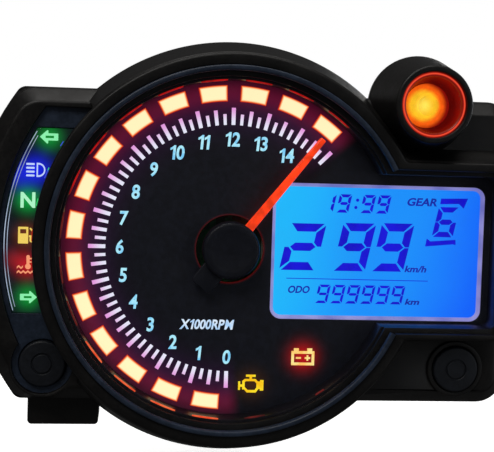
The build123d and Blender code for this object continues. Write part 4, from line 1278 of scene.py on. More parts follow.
    def build(self) -> None:
        """Makes the case's pieces."""
        put("front_cover_hood", self.hood(), CASE_BLACK, replaces=["front_cover"])
        put("front_cover_left_wing", self.left(), CASE_BLACK, replaces=["front_cover"])
        put("front_cover_right_wing", self.right(), CASE_BLACK, replaces=["front_cover"])
        put("front_cover_button_boss", self.boss(), CASE_BLACK, replaces=["front_cover"])
        # the recess floor is part of the black cover but takes the lighter slate-blue finish: a painted sheen where it
        # and the keyhole's edge catch light
        put("front_cover_recess_floor", self.floor(), SLATE, replaces=["front_cover"])


# ---- bezel, lens and well
@dataclass
class Bezel:
    """The slate ring round the lens, the lens itself and the wall of the well behind it."""

    case: Case
    ring_inner: float = 49.0
    ring_outer: float = 50.5
    well_inner: float = 46.8
    well_outer: float = 48.5
    well_margin: float = 1.35
    arc_width: float = 0.42

    def ring(self) -> Shell:
        """The bezel ring: a rounded section swept along the open arc between the display's edges."""
        low, high = low_of("bezel_ring"), high_of("bezel_ring")
        bottom, top = self.case.tongue
        start = level_clock(bottom, self.ring_outer) + 0.4
        end = level_clock(top, self.ring_outer) - 0.4
        section = [(self.ring_inner, low), (self.ring_outer, low), (self.ring_outer, high - 0.5)]
        section += corner(self.ring_outer - 0.5, high - 0.5, 0.5, 20, 90, 5)
        section += corner(self.ring_inner + 0.6, high - 0.6, 0.6, 90, 180, 6)
        clocks = np.linspace(start, 360 + end, 220)
        return carried([at(polar(radius, clocks), height) for radius, height in section])

    def lens(self) -> Shell:
        """The clear lens: the opening's outline with softened edges."""
        low, high = low_of("dial_lens"), high_of("dial_lens")
        edge = [(0.0, low), (0.0, high - 0.3), (0.1, high - 0.08), (0.3, high)]
        rows = [at(self.case.opening(50.5 - inset, inset), height) for inset, height in edge]
        side = stacked(rows)
        return joined([side, filled([rows[0][:, :2]], low), filled([rows[-1][:, :2]], high)])

    def well(self) -> Shell:
        """The wall round the dial: a ring section that follows the opening, with a rounded top."""
        low, high = low_of("dial_surround"), high_of("dial_surround")
        radius, margin = self.well_inner, self.well_margin
        section = [(self.well_outer, -0.6, low), (self.well_outer, -0.6, high), (radius + 0.35, margin - 0.35, high),
                   (radius + 0.1, margin - 0.1, high - 0.1), (radius, margin, high - 0.35), (radius, margin, low)]
        rows = [at(self.case.opening(radius, margin), height) for radius, margin, height in section]
        return stacked(rows, looped=True)

    def glints(self, start: float, pitch: float, count: int, width: float) -> None:
        """Painted reflections of the lit segments on the well's wall: one thin emissive strip bent to the wall beside
        each segment, and two more before the scale's start.

        Args:
            start: clock angle where the segments start.
            pitch: angle from one segment to the next.
            count: number of segments.
            width: angle that a strip covers.
        """
        high = high_of("dial_surround") - 0.12
        strips: dict[Heat, list[Shell]] = {heat: [] for heat in Heat}
        for index in range(count):
            heat = Heat.HOT if index < 4 else Heat.WARM if index >= 7 else Heat.DIM
            strips[heat].append(self.strip(start + pitch * (index + 0.5), width, high))
        strips[Heat.DIM] += [self.strip(170.5, 7.0, high), self.strip(146.5, 3.5, high)]
        # emissive finishes of the painted reflections: bright orange by the first four segments, red by the last ones,
        # dim between
        glows = {Heat.HOT: Glow((255, 110, 62), (240, 70, 34), 0.95), Heat.WARM: Glow((196, 14, 14), (120, 6, 8), 0.9),
                 Heat.DIM: Glow((120, 26, 24), (70, 10, 14), 0.7)}
        for heat, glow in glows.items():
            put(f"well_painted_reflections_{heat.value}", joined(strips[heat]), glow)

    def strip(self, middle: float, width: float, high: float) -> Shell:
        """One painted reflection: a closed emissive bar bent along the wall, thinner towards its ends.

        Args:
            middle: clock angle of its middle.
            width: angle that it covers.
            high: height of its front face.

        Returns:
            The closed bar.
        """
        clocks = np.linspace(middle - width / 2, middle + width / 2, 14)
        taper = np.sqrt(np.clip(1 - ((clocks - middle) / (width / 2 + 0.15)) ** 2, 0, 1)) * 0.5 + 0.5
        thick = self.arc_width * taper
        inner, outer = self.well_inner - 0.02 - thick, self.well_inner + 0.02
        section = [(inner, high), (outer, high), (outer, high - 0.25), (inner, high - 0.25)]
        return carried([at(polar(radius, clocks), height) for radius, height in section])

    def build(self) -> None:
        """Makes the ring, the lens and the well."""
        put("bezel_ring_rounded", self.ring(), SLATE, replaces=["bezel_ring"])
        put("dial_lens_clear", self.lens(), Clear(), replaces=["dial_lens"])
        put("dial_well", self.well(), WELL_BLACK, replaces=["dial_surround"])


# ---- symbols
class Symbols:
    """The tell-tale symbols, each drawn from closed outlines about the origin, in millimetres."""

    @staticmethod
    def block(box: Sequence[float], radius: float, size: float, steps: int) -> Array:
        """A rectangle with rounded corners, given as left, top, right and bottom in shares of the size."""
        left, top, right, bottom = box
        corners = [(left, top), (right, top), (right, bottom), (left, bottom)]
        return rounded([(x * size, z * size, radius * size) for x, z in corners], steps)

    @staticmethod
    def arrow(size: float, left: bool) -> list[list[Array]]:
        """A broad arrow with a hollow middle: an outer outline and an inner one."""
        side = -1.0 if left else 1.0
        head = [(1.0, 0.0, 0.05), (0.15, 0.78, 0.08), (0.15, 0.36, 0.05), (-0.85, 0.36, 0.08), (-0.85, -0.36, 0.08),
                (0.15, -0.36, 0.05), (0.15, -0.78, 0.08)]
        outer = rounded([(x * side * size / 2, z * size / 2, r * size / 2) for x, z, r in head], 5)
        slot = rounded([(x * side * size / 2, z * size / 2, 0.06) for x, z in
                        [(0.42, 0.12), (0.42, -0.12), (-0.42, -0.12), (-0.42, 0.12)]], 4)
        return [[outer, slot]]

    @staticmethod
    def beam(size: float) -> list[list[Array]]:
        """A headlamp: a D outline with four level rays on its left."""
        bulb = np.concatenate([[[0.0, 0.36], [0.0, -0.36]], arc((0.08, 0), 0.36, 180, 0, 18)]) * size
        inner = np.concatenate([[[0.07, 0.27], [0.07, -0.27]], arc((0.1, 0), 0.27, 180, 0, 16)]) * size
        rays = [Symbols.block((-0.52, level + 0.05, -0.1, level - 0.05), 0.03, size, 4)
                for level in (0.29, 0.097, -0.097, -0.29)]
        return [[bulb, inner]] + [[ray] for ray in rays]

    @staticmethod
    def pump(size: float) -> list[list[Array]]:
        """A fuel pump: a body with a window, a base and a hose that hooks over on the right."""
        body = Symbols.block((-0.46, 0.5, 0.14, -0.5), 0.04, size, 4)
        pane = Symbols.block((-0.34, 0.36, 0.02, 0.1), 0.02, size, 3)
        hose = rounded([(x * size, z * size, r * size) for x, z, r in
                        [(0.18, 0.0, 0.0), (0.34, 0.0, 0.05), (0.34, -0.3, 0.03), (0.36, -0.3, 0.03),
                         (0.36, 0.22, 0.0), (0.2, 0.4, 0.03), (0.26, 0.46, 0.03), (0.48, 0.26, 0.04),
                         (0.48, -0.42, 0.1), (0.22, -0.42, 0.1), (0.22, -0.1, 0.0), (0.18, -0.1, 0.0)]], 4)
        return [[body, pane], [hose]]

    @staticmethod
    def coolant(size: float) -> list[list[Array]]:
        """A thermometer standing in two lines of waves."""
        stem = np.concatenate([arc((0.06, 0.46), 0.09, 270, 450, 8), arc((0.06, -0.06), 0.15, 30, 330, 16)]) * size
        bars = [Symbols.block((0.14, level + 0.04, 0.3, level - 0.04), 0.02, size, 3) for level in (0.36, 0.18)]
        waves = []
        for left, right, level in [(-0.52, -0.2, -0.1), (0.3, 0.56, -0.1), (-0.52, 0.56, -0.36)]:
            run = np.linspace(left, right, 24)
            swing = level + 0.045 * np.sin(run * 26)
            over, under = (np.stack([run, swing + side], 1) for side in (0.05, -0.05))
            waves.append(np.concatenate([over, under[::-1]]) * size)
        return [[stem]] + [[bar] for bar in bars] + [[wave] for wave in waves]

    @staticmethod
    def engine(size: float) -> list[list[Array]]:
        """An engine block: a stepped outline with a hollow middle, a filler on top and a hub at each side."""
        points = [(-0.5, 0.1), (-0.42, 0.1), (-0.42, -0.02), (-0.34, -0.02), (-0.34, 0.12), (-0.24, 0.2),
                  (-0.06, 0.2), (-0.06, 0.28), (-0.2, 0.28), (-0.2, 0.37), (0.18, 0.37), (0.18, 0.28), (0.04, 0.28),
                  (0.04, 0.2), (0.18, 0.2), (0.28, 0.1), (0.36, 0.1), (0.36, 0.16), (0.5, 0.16), (0.5, -0.26),
                  (0.36, -0.26), (0.36, -0.2), (0.3, -0.2), (0.2, -0.34), (-0.16, -0.34), (-0.26, -0.22),
                  (-0.34, -0.22), (-0.34, -0.12), (-0.42, -0.12), (-0.42, -0.24), (-0.5, -0.24)]
        outer = np.array(points) * size
        inner = np.array([(-0.24, 0.08), (-0.18, 0.11), (0.14, 0.11), (0.22, 0.02), (0.22, -0.14), (0.15, -0.24),
                          (-0.12, -0.24), (-0.24, -0.12)]) * size
        return [[outer, inner]]

    @staticmethod
    def battery(size: float) -> list[list[Array]]:
        """A battery: a case with two terminals on top and a minus and a plus inside."""
        outer = np.array([(-0.5, 0.24), (-0.4, 0.24), (-0.4, 0.36), (-0.18, 0.36), (-0.18, 0.24), (0.18, 0.24),
                          (0.18, 0.36), (0.4, 0.36), (0.4, 0.24), (0.5, 0.24), (0.5, -0.38), (-0.5, -0.38)]) * size
        inner = np.array([(-0.38, 0.12), (0.38, 0.12), (0.38, -0.26), (-0.38, -0.26)]) * size
        minus = np.array([(-0.3, -0.02), (-0.08, -0.02), (-0.08, -0.1), (-0.3, -0.1)]) * size
        plus = np.array([(0.08, -0.02), (0.16, -0.02), (0.16, 0.06), (0.24, 0.06), (0.24, -0.02), (0.32, -0.02),
                         (0.32, -0.1), (0.24, -0.1), (0.24, -0.18), (0.16, -0.18), (0.16, -0.1), (0.08, -0.1)]) * size
        return [[outer, inner], [minus], [plus]]

    @staticmethod
    def draw(outlines: list[list[Array]], spot: Sequence[float], height: float, thick: float = 0.03) -> Shell:
        """A symbol's outlines as one thin print at a place on the face."""
        prints = [tile(loops[0], height, thick, loops[1:]) for loops in outlines]
        return joined(prints).moved(spot[0], spot[1])


# ---- dial
@dataclass
class Dial:
    """The dial plate with its lit segments, scale, figures and two tell-tales."""

    case: Case
    segments: int = 15
    start: float = 180.0
    pitch: float = 15.0
    width: float = 10.2
    inner: float = 41.1
    outer: float = 45.6
    hub_hole: float = 9.5
    window_cut: float = 5.5
    window_round: float = 3.2
    tick_inner: float = 34.6
    tick_sizes: tuple = ((39.35, 1.15), (37.6, 0.9), (38.75, 1.05), (37.6, 0.9))
    figure_radius: float = 30.6
    figure_high: float = 4.0
    print_lift: float = 0.03
    engine: tuple = (7.1, -38.2)
    battery: tuple = (21.7, -30.2)

    def window(self) -> Array:
        """The display's window: rounded corners, and one cut across beside the needle."""
        left, right, low, high = 11.8, 72.7, -19.5, 19.0
        cut = self.window_cut / 2**0.5
        turn = self.window_round
        return rounded([(left, high - cut, 0.8), (left + cut, high, 0.8), (right, high, turn),
                        (right, low, turn), (left, low, turn)], 9)

    def sector(self, middle: float, half: float, inner: float, outer: float) -> Array:
        """A piece of a flat ring between two clock angles, with barely rounded corners.

        Args:
            middle: clock angle of its middle.
            half: half of the angle that it covers.
            inner: inner radius.
            outer: outer radius.

        Returns:
            The outline's points (28, 2).
        """
        shrink = 0.12
        ends = float(np.degrees(shrink / outer))
        return np.concatenate([arc((0, 0), outer, middle - half + ends, middle + half - ends, 12),
                               arc((0, 0), outer - shrink, middle + half, middle + half, 1),
                               arc((0, 0), inner + shrink, middle + half, middle + half, 1),
                               arc((0, 0), inner, middle + half - ends, middle - half + ends, 12),
                               arc((0, 0), inner + shrink, middle - half, middle - half, 1),
                               arc((0, 0), outer - shrink, middle - half, middle - half, 1)])

    def middle(self, index: int) -> float:
        """Clock angle of a segment's middle."""
        return self.start + self.pitch * (index + 0.5)

    def face(self) -> Shell:
        """The dial plate: the opening's outline with holes for the segments, the hub and the display."""
        low, high = low_of("dial_plate"), high_of("dial_plate")
        holes = [outward(ring_points((0, 0), self.hub_hole, 96)), outward(self.window())]
        for index in range(self.segments):
            gap = self.sector(self.middle(index), self.width / 2 + 0.1, self.inner - 0.05, self.outer + 0.05)
            holes.append(outward(gap))
        outer = self.case.opening(48.5, -0.6)
        return plate(lambda depth: outer, holes, rim(low, high, 0.0), rim(low, high, 0.06, steps=2))

    def lights(self) -> Shell:
        """The lit ends of the segments' light guides, a little crowned."""
        low, high = low_of("segment_light_guides"), high_of("segment_light_guides")
        shells = []
        for index in range(self.segments):
            loop = self.sector(self.middle(index), self.width / 2, self.inner, self.outer)
            shells.append(plate(inward(loop), [], rim(low, high, 0.15)))
        return joined(shells)

    def ticks(self) -> Shell:
        """The scale's ticks: thin bars that widen a little outwards."""
        count = self.segments * 4 + 1
        height = high_of("dial_plate") + 0.005
        shells = []
        for index in range(count):
            outer, width = self.tick_sizes[index % 4]
            half = width / 2
            bar = np.array([(-half * 0.92, self.tick_inner), (half * 0.92, self.tick_inner),
                            (half, outer), (-half, outer)])
            shells.append(tile(bar, height, self.print_lift).turned(self.start + index * self.pitch / 4))
        return joined(shells)

    def text(self, words: str, high: float, lean: float, weight: float, narrow: float = 0.86) -> Shell:
        """Words about the origin, set sign by sign; the ones have a flag and no foot.

        Args:
            words: the signs.
            high: height of a sign.
            lean: how far the tops lean to the right, as a share of the height.
            weight: how much the strokes grow.
            narrow: factor on the signs' widths.

        Returns:
            The words as one thin closed surface.
        """
        one = np.array([(0.38, -0.5), (0.38, 0.5), (0.25, 0.5), (0.14, 0.39), (0.0, 0.31), (0.0, 0.15),
                        (0.12, 0.2), (0.2, 0.26), (0.2, -0.5)]) * high
        shells, left = [], 0.0
        for sign in words:
            if sign == "1":
                glyph = tile(one + one[:, 1:] * (lean, 0.0), 0.0, self.print_lift)
            else:
                glyph = lettering(sign, high, lean, weight, self.print_lift)
                glyph.points[:, 0] *= narrow
            shells.append(glyph.moved(left - glyph.points[:, 0].min()))
            left += float(np.ptp(glyph.points[:, 0])) + high * (0.05 - lean * 0.4)
        return joined(shells).moved(-left / 2)

    def figures(self) -> Shell:
        """The figures 0 to 14 beside their ticks, upright and leaning a little."""
        height = high_of("dial_plate") + 0.005
        shells = []
        for index in range(self.segments):
            spot = polar(self.figure_radius, self.start + index * self.pitch)
            shells.append(self.text(str(index), self.figure_high, 0.08, 0.028).moved(spot[0], spot[1], height))
        return joined(shells)

    def unit(self) -> Shell:
        """The scale's unit, in bold leaning capitals."""
        text = self.text("X1000RPM", 2.8, 0.2, 0.03)
        text.points[:, 0] *= 15.4 / np.ptp(text.points[:, 0])
        return text.moved(-5.9, -21.4, high_of("dial_plate") + 0.005)

    def window_rim(self) -> Shell:
        """The bevel inside the display's window: a sloping band from the dial down to the glass, glowing lavender as
        painted light from the backlight.
        """
        low, high = high_of("lcd_glass") + 0.02, high_of("dial_plate") - 0.05
        loop = self.window()
        section = [(0.0, low), (0.02, high), (0.25, high), (1.0, low + 0.08), (1.0, low)]
        return stacked([at(offset(loop, -depth), height) for depth, height in section], looped=True)

    def build(self) -> None:
        """Makes the dial's pieces."""
        halos = ((self.engine, (58, 30, 0), 3.6), (self.battery, (186, 8, 4), 3.4))
        put("dial_face", self.face(), DialFace(telltales=halos), replaces=["dial_plate"])
        put("segment_lights", self.lights(), SegmentLight(), replaces=["segment_light_guides"])
        put("dial_ticks", self.ticks(), TickLight())
        numerals = Glow((178, 240, 255), (120, 205, 250), 1.0, (60, 70, 80), 1.5)
        put("dial_figures", self.figures(), numerals)
        put("dial_unit", self.unit(), Glow((226, 240, 255), (170, 210, 250), 1.0, (60, 70, 80), 1.5))
        # painted light: the bevel is made to glow lavender, standing in for the backlight falling on it
        painted_bevel_glow = Glow((150, 146, 214), (112, 112, 196), 0.75, (150, 150, 170), 9.0)
        put("display_window_rim", self.window_rim(), painted_bevel_glow)
        height = high_of("dial_plate") + 0.005
        engine = Symbols.draw(Symbols.engine(7.2), self.engine, height)
        put("telltale_engine", engine, Glow((255, 232, 40), (250, 190, 10), 1.05))
        battery = Symbols.draw(Symbols.battery(6.6), self.battery, height)
        put("telltale_battery", battery, Glow((255, 236, 150), (255, 190, 90), 1.05))


# ---- display
@dataclass
class Display:
    """The display's lit glass with its dark figures, words and rules."""

    lean: float = 0.21
    ink: Glow = Glow((22, 16, 236), (18, 10, 214), 0.85, (10, 10, 60), 6.0)
    word_ink: Glow = Glow((26, 40, 190), (22, 34, 170), 0.85, (10, 10, 60), 6.0)
    lift: float = 0.01
    thick: float = 0.03

    # each shape's strokes: top, upper left, upper right, middle, lower left, lower right, bottom
    STROKES = {"1": "0010010", "2": "1011101", "6": "1101111", "9": "1111011"}

    def digit(self, shape: str, box: tuple[float, float, float, float], stroke: float, gap: float) -> list[Array]:
        """A seven-stroke figure inside a box given by its left, top, right and bottom.

        A point at a share u across and v up is (left + u w + v lean h, bottom + v h), where the lean
        takes up the rest of the box's width.
        """
        left, top, right, bottom = box
        high = top - bottom
        wide = right - left - self.lean * high
        s, g = stroke, gap
        half = high / 2
        level = [(s * 0.1 + g, 0), (wide - s * 0.1 - g, 0), (wide - s - g, -s), (s + g, -s)]
        tall = [(0, g + s * 0.1), (0, half - g * 0.4), (s * 0.5, half - g * 0.4),
                (s, half - s * 0.5 - g * 0.4), (s, s + g)]
        bar = [(s * 0.55 + g, half), (s * 1.1 + g, half + s * 0.5), (wide - s * 1.1 - g, half + s * 0.5),
               (wide - s * 0.55 - g, half), (wide - s * 1.1 - g, half - s * 0.5), (s * 1.1 + g, half - s * 0.5)]
        shapes = [[(x, high + z) for x, z in level], [(x, high - z) for x, z in tall],
                  [(wide - x, high - z) for x, z in tall], bar, tall, [(wide - x, z) for x, z in tall],
                  [(x, -z) for x, z in level]]
        lit = [np.array(shape) for shape, on in zip(shapes, self.STROKES[shape]) if on == "1"]
        return [np.column_stack([left + p[:, 0] + p[:, 1] * self.lean, bottom + p[:, 1]]) for p in lit]

    def row(self, text: str, box: tuple[float, float, float, float], pitch: float, stroke: float) -> list[Array]:
        """A row of small figures whose pitch is given; a colon takes less room.

        Args:
            text: the figures and colons.
            box: left, top, right and bottom of the first figure.
            pitch: distance from figure to figure.
            stroke: width of a stroke.

        Returns:
            The outlines of the strokes.
        """
        left, top, right, bottom = box
        wide = pitch * 0.8 + self.lean * (top - bottom)
        prints = []
        for shape in text:
            if shape == ":":
                for level in (0.3, 0.7):
                    spot = (left + pitch * 0.22 + level * (top - bottom) * self.lean, bottom + level * (top - bottom))
                    prints.append(ring_points(spot, stroke * 0.55, 12))
                left += pitch * 0.55
                continue
            prints += self.digit(shape, (left, top, left + wide, bottom), stroke, stroke * 0.18)
            left += pitch
        return prints

    def figures(self) -> list[Array]:
        """The speed, the gear, the clock and the distance."""
        prints = []
        speed = [("2", (14.2, 7.6, 27.4, -5.7)), ("9", (29.4, 8.0, 41.7, -5.7)), ("9", (40.5, 8.2, 52.8, -5.6))]
        for shape, box in speed:
            prints += self.digit(shape, box, 2.3, 0.3)
        prints += self.digit("6", (57.9, 13.2, 65.8, 4.6), 1.5, 0.22)
        prints += self.row("19:99", (25.4, 16.1, 46.1, 10.9), 4.45, 0.85)
        prints += self.row("999999", (24.7, -9.7, 50.9, -15.0), 4.32, 0.72)
        prints.append(np.array([(60.2, 15.6), (68.1, 15.8), (66.9, 12.9), (65.5, 14.2), (60.0, 14.0)]))
        prints.append(np.array([(56.5, 4.1), (57.6, 3.3), (64.9, 3.9), (65.0, 2.4), (64.2, 2.6), (56.1, 1.8)]))
        prints.append(np.array([(16.4, -7.95), (57.3, -8.05), (57.3, -8.25), (16.4, -8.15)]))
        return prints

    def words(self, height: float) -> Shell:
        """The units and captions in bold leaning letters.

        Args:
            height: height of the print's rear face.

        Returns:
            The words as one surface.
        """
        texts = [("GEAR", 2.3, 54.9, 14.45, 8.6), ("km/h", 1.9, 53.7, -4.75, 6.4), ("ODO", 2.1, 20.1, -11.2, 6.2),
                 ("km", 1.7, 53.1, -14.2, 4.3)]
        shells = []
        for text, high, x, z, wide in texts:
            word = lettering(text, high, 0.22, 0.03, self.thick)
            word.points[:, 0] *= wide / np.ptp(word.points[:, 0])
            shells.append(word.moved(x, z, height))
        return joined(shells)

    def build(self, window: Array) -> None:
        """Makes the glass and its prints.

        Args:
            window: outline of the dial's window, which the glass lies behind.
        """
        low, high = low_of("lcd_glass"), high_of("lcd_glass")
        glass = plate(lambda depth: offset(window, 0.8 - depth), [], rim(low, high, 0.1, 0.1, 2))
        put("display_glass", glass, PanelLight(), replaces=["lcd_glass"])
        height = high + self.lift
        figures = joined([tile(points, height, self.thick) for points in self.figures()])
        put("display_figures", figures, self.ink)
        put("display_words", self.words(height), self.word_ink)


# ---- needle
@dataclass
class Needle:
    """The needle: a hub cap, a tapered see-through pointer and a short tail."""

    rest: float = 38.4
    cap: float = 7.9
    tip: float = 40.0
    root: float = 7.0
    root_width: float = 2.6
    tip_width: float = 1.7
    tail: float = 13.4
    tail_width: float = 6.7

    def pointer(self) -> Shell:
        """The pointer: a long bar that tapers in width, its upper edges rounded and its tip blunt."""
        low, high = low_of("needle_pointer"), high_of("needle_pointer")
        root, tip = self.root_width / 2, self.tip_width / 2
        outline = rounded([(-root, self.root, 0), (-tip, self.tip, tip * 0.5), (tip, self.tip, tip * 0.5),
                           (root, self.root, 0)], 6)
        return plate(inward(outline), [], rim(low, high, 0.45, 0.1, 5)).turned(self.rest)

    def hub(self) -> Shell:
        """The hub cap: a shallow cap with a softened edge and a faint dish on top."""
        low, high = low_of("needle_hub_cap"), high_of("needle_hub_cap")
        profile = [(0.0, low), (self.cap - 0.15, low), (self.cap, low + 0.15), (self.cap, high - 0.9)]
        profile += corner(self.cap - 0.9, high - 0.9, 0.9, 0, 90, 8)
        profile += [(self.cap - 1.6, high), (self.cap - 2.2, high - 0.05), (self.cap - 2.6, high - 0.16),
                    (0.0, high - 0.22)]
        return lathe(profile)

    def weight(self) -> Shell:
        """The tail opposite the pointer."""
        low, high = low_of("needle_pointer"), high_of("needle_pointer")
        half = self.tail_width / 2
        outline = rounded([(-half, -3.0, 0), (half, -3.0, 0), (half, -self.tail, 1.2), (-half, -self.tail, 1.2)], 6)
        return plate(inward(outline), [], rim(low - 0.4, high - 0.3, 0.3, 0.1, 4)).turned(self.rest)

    def build(self) -> None:
        """Makes the needle's pieces."""
        glow = Glass((255, 70, 30), (255, 66, 24), 0.95, 0.9)
        put("needle_pointer_lit", self.pointer(), glow, Body.NEEDLE, ["needle_pointer"])
        put("needle_hub_domed", self.hub(), HUB_BLACK, Body.NEEDLE, ["needle_hub_cap"])
        put("needle_tail", self.weight(), HUB_BLACK, Body.NEEDLE, ["needle_counterweight"])


# ---- tell-tale arc
@dataclass
class TelltaleArc:
    """The arc of tell-tales in the left wing: film, symbols, smoked lens, and painted highlights along the lens's
    edges and near its inner rim.
    """

    inner: float = 54.1
    outer: float = 62.45
    window_low: float = -18.8
    window_high: float = 32.1
    icons: tuple = (
        (Sign.LEFT_ARROW, (-50.3, 29.7), (150, 255, 186), (2, 150, 44), 3.0),
        (Sign.HIGH_BEAM, (-53.7, 20.6), (206, 226, 255), (14, 30, 244), 3.6),
        (Sign.NEUTRAL, (-55.9, 12.3), (186, 255, 212), (0, 170, 60), 3.0),
        (Sign.FUEL, (-56.3, 2.6), (255, 222, 104), (120, 52, 0), 2.8),
        (Sign.COOLANT, (-55.9, -5.7), (255, 166, 120), (196, 8, 4), 3.0),
        (Sign.RIGHT_ARROW, (-55.5, -14.5), (150, 255, 186), (0, 150, 44), 3.0))

    def band(self, depth: float) -> Array:
        """The lens's outline, moved inwards by a depth."""
        inner, outer = self.inner + depth, self.outer - depth
        low, high = self.window_low + depth, self.window_high - depth
        return level_band(inner, outer, low, high, 60)

    def lens(self) -> Shell:
        """The smoked lens with softened edges."""
        return plate(self.band, [], rim(low_of("indicator_lens"), high_of("indicator_lens"), 0.3))

    def film(self) -> Shell:
        """The printed film behind the lens."""
        return plate(self.band, [], rim(low_of("indicator_film"), high_of("indicator_film"), 0.0))

    def symbol(self, sign: Sign, spot: tuple[float, float], height: float) -> Shell:
        """One tell-tale's print on the film, at its place."""
        if sign is Sign.NEUTRAL:
            return lettering("N", 4.3, 0.0, 0.03, 0.03).moved(spot[0], spot[1], height)
        shapes = {Sign.LEFT_ARROW: Symbols.arrow(5.4, True), Sign.RIGHT_ARROW: Symbols.arrow(5.0, False),
                  Sign.HIGH_BEAM: Symbols.beam(5.4), Sign.FUEL: Symbols.pump(4.6), Sign.COOLANT: Symbols.coolant(5.2)}
        return Symbols.draw(shapes[sign], spot, height)

    def ribbon(self, radius: float, width: float, start: float, end: float, steps: int) -> Array:
        """Outline of a narrow line along the arc between two clock angles."""
        return np.concatenate([arc((0, 0), radius + width / 2, start, end, steps),
                               arc((0, 0), radius - width / 2, end, start, steps)])

    def line(self, radius: float, width: float, low: float, high: float, height: float) -> Shell:
        """A thin emissive line along the arc between two levels of Z, used as a painted highlight on the lens's edge.
        """
        start, end = 180 + level_clock(-low, radius), 360 - level_clock(high, radius)
        return tile(self.ribbon(radius, width, start, end, 50), height, 0.05)

    def bar(self, radius: float, clock: float, span: float, width: float, height: float) -> Shell:
        """A short emissive bar about a clock angle, used as a painted glint on the lens."""
        return tile(self.ribbon(radius, width, clock - span / 2, clock + span / 2, 10), height, 0.04)

    def build(self) -> None:
        """Makes the arc's pieces."""
        halos = tuple((spot, glow, reach) for _, spot, _, glow, reach in self.icons)
        halos += (((-58.5, 19.0), (10, 20, 190), 3.4), ((-59.5, -4.0), (120, 10, 2), 2.6))
        put("indicator_film_lit", self.film(), HaloFilm(halos), replaces=["indicator_film"])
        height = high_of("indicator_film") + 0.005
        for sign, spot, colour, glow, _ in self.icons:
            lit = Glow(colour, colour, 1.05, glow)
            put(f"symbol_{sign.value}", self.symbol(sign, spot, height), lit)
        lens_top = high_of("indicator_lens")
        smoke = Clear((40, 50, 70), 0.1, 0.08)
        put("indicator_lens_smoked", self.lens(), smoke, replaces=["indicator_lens"])
        # painted highlights: two thin emissive arcs near the lens's outer edge stand in for the symbols' light
        # reflected in it
        edge = Glow((196, 214, 240), (120, 134, 160), 0.8, (80, 84, 92), 9.0)
        lines = joined([self.line(62.0, 0.22, -18.0, 31.2, lens_top - 0.05),
                        self.line(61.2, 0.16, -17.0, 30.0, lens_top - 0.05)])
        put("indicator_lens_painted_highlights", lines, edge)
        # painted reflections: short green, blue and red glints of the symbols' light near the lens's inner edge
        painted_glints = {"green": ((60, 230, 120), [(292.5, 1.0), (282.5, 2.2), (255.8, 2.4)]),
                   "blue": ((70, 90, 240), [(300.8, 1.6), (291.0, 2.6)]),
                   "red": ((210, 40, 16), [(272.8, 3.4), (264.2, 3.0)])}
        for name, (colour, places) in painted_glints.items():
            bars = [self.bar(54.6, clock, span, 0.24, lens_top - 0.04) for clock, span in places]
            put(f"indicator_glints_{name}", joined(bars), Glow(colour, colour, 0.8))


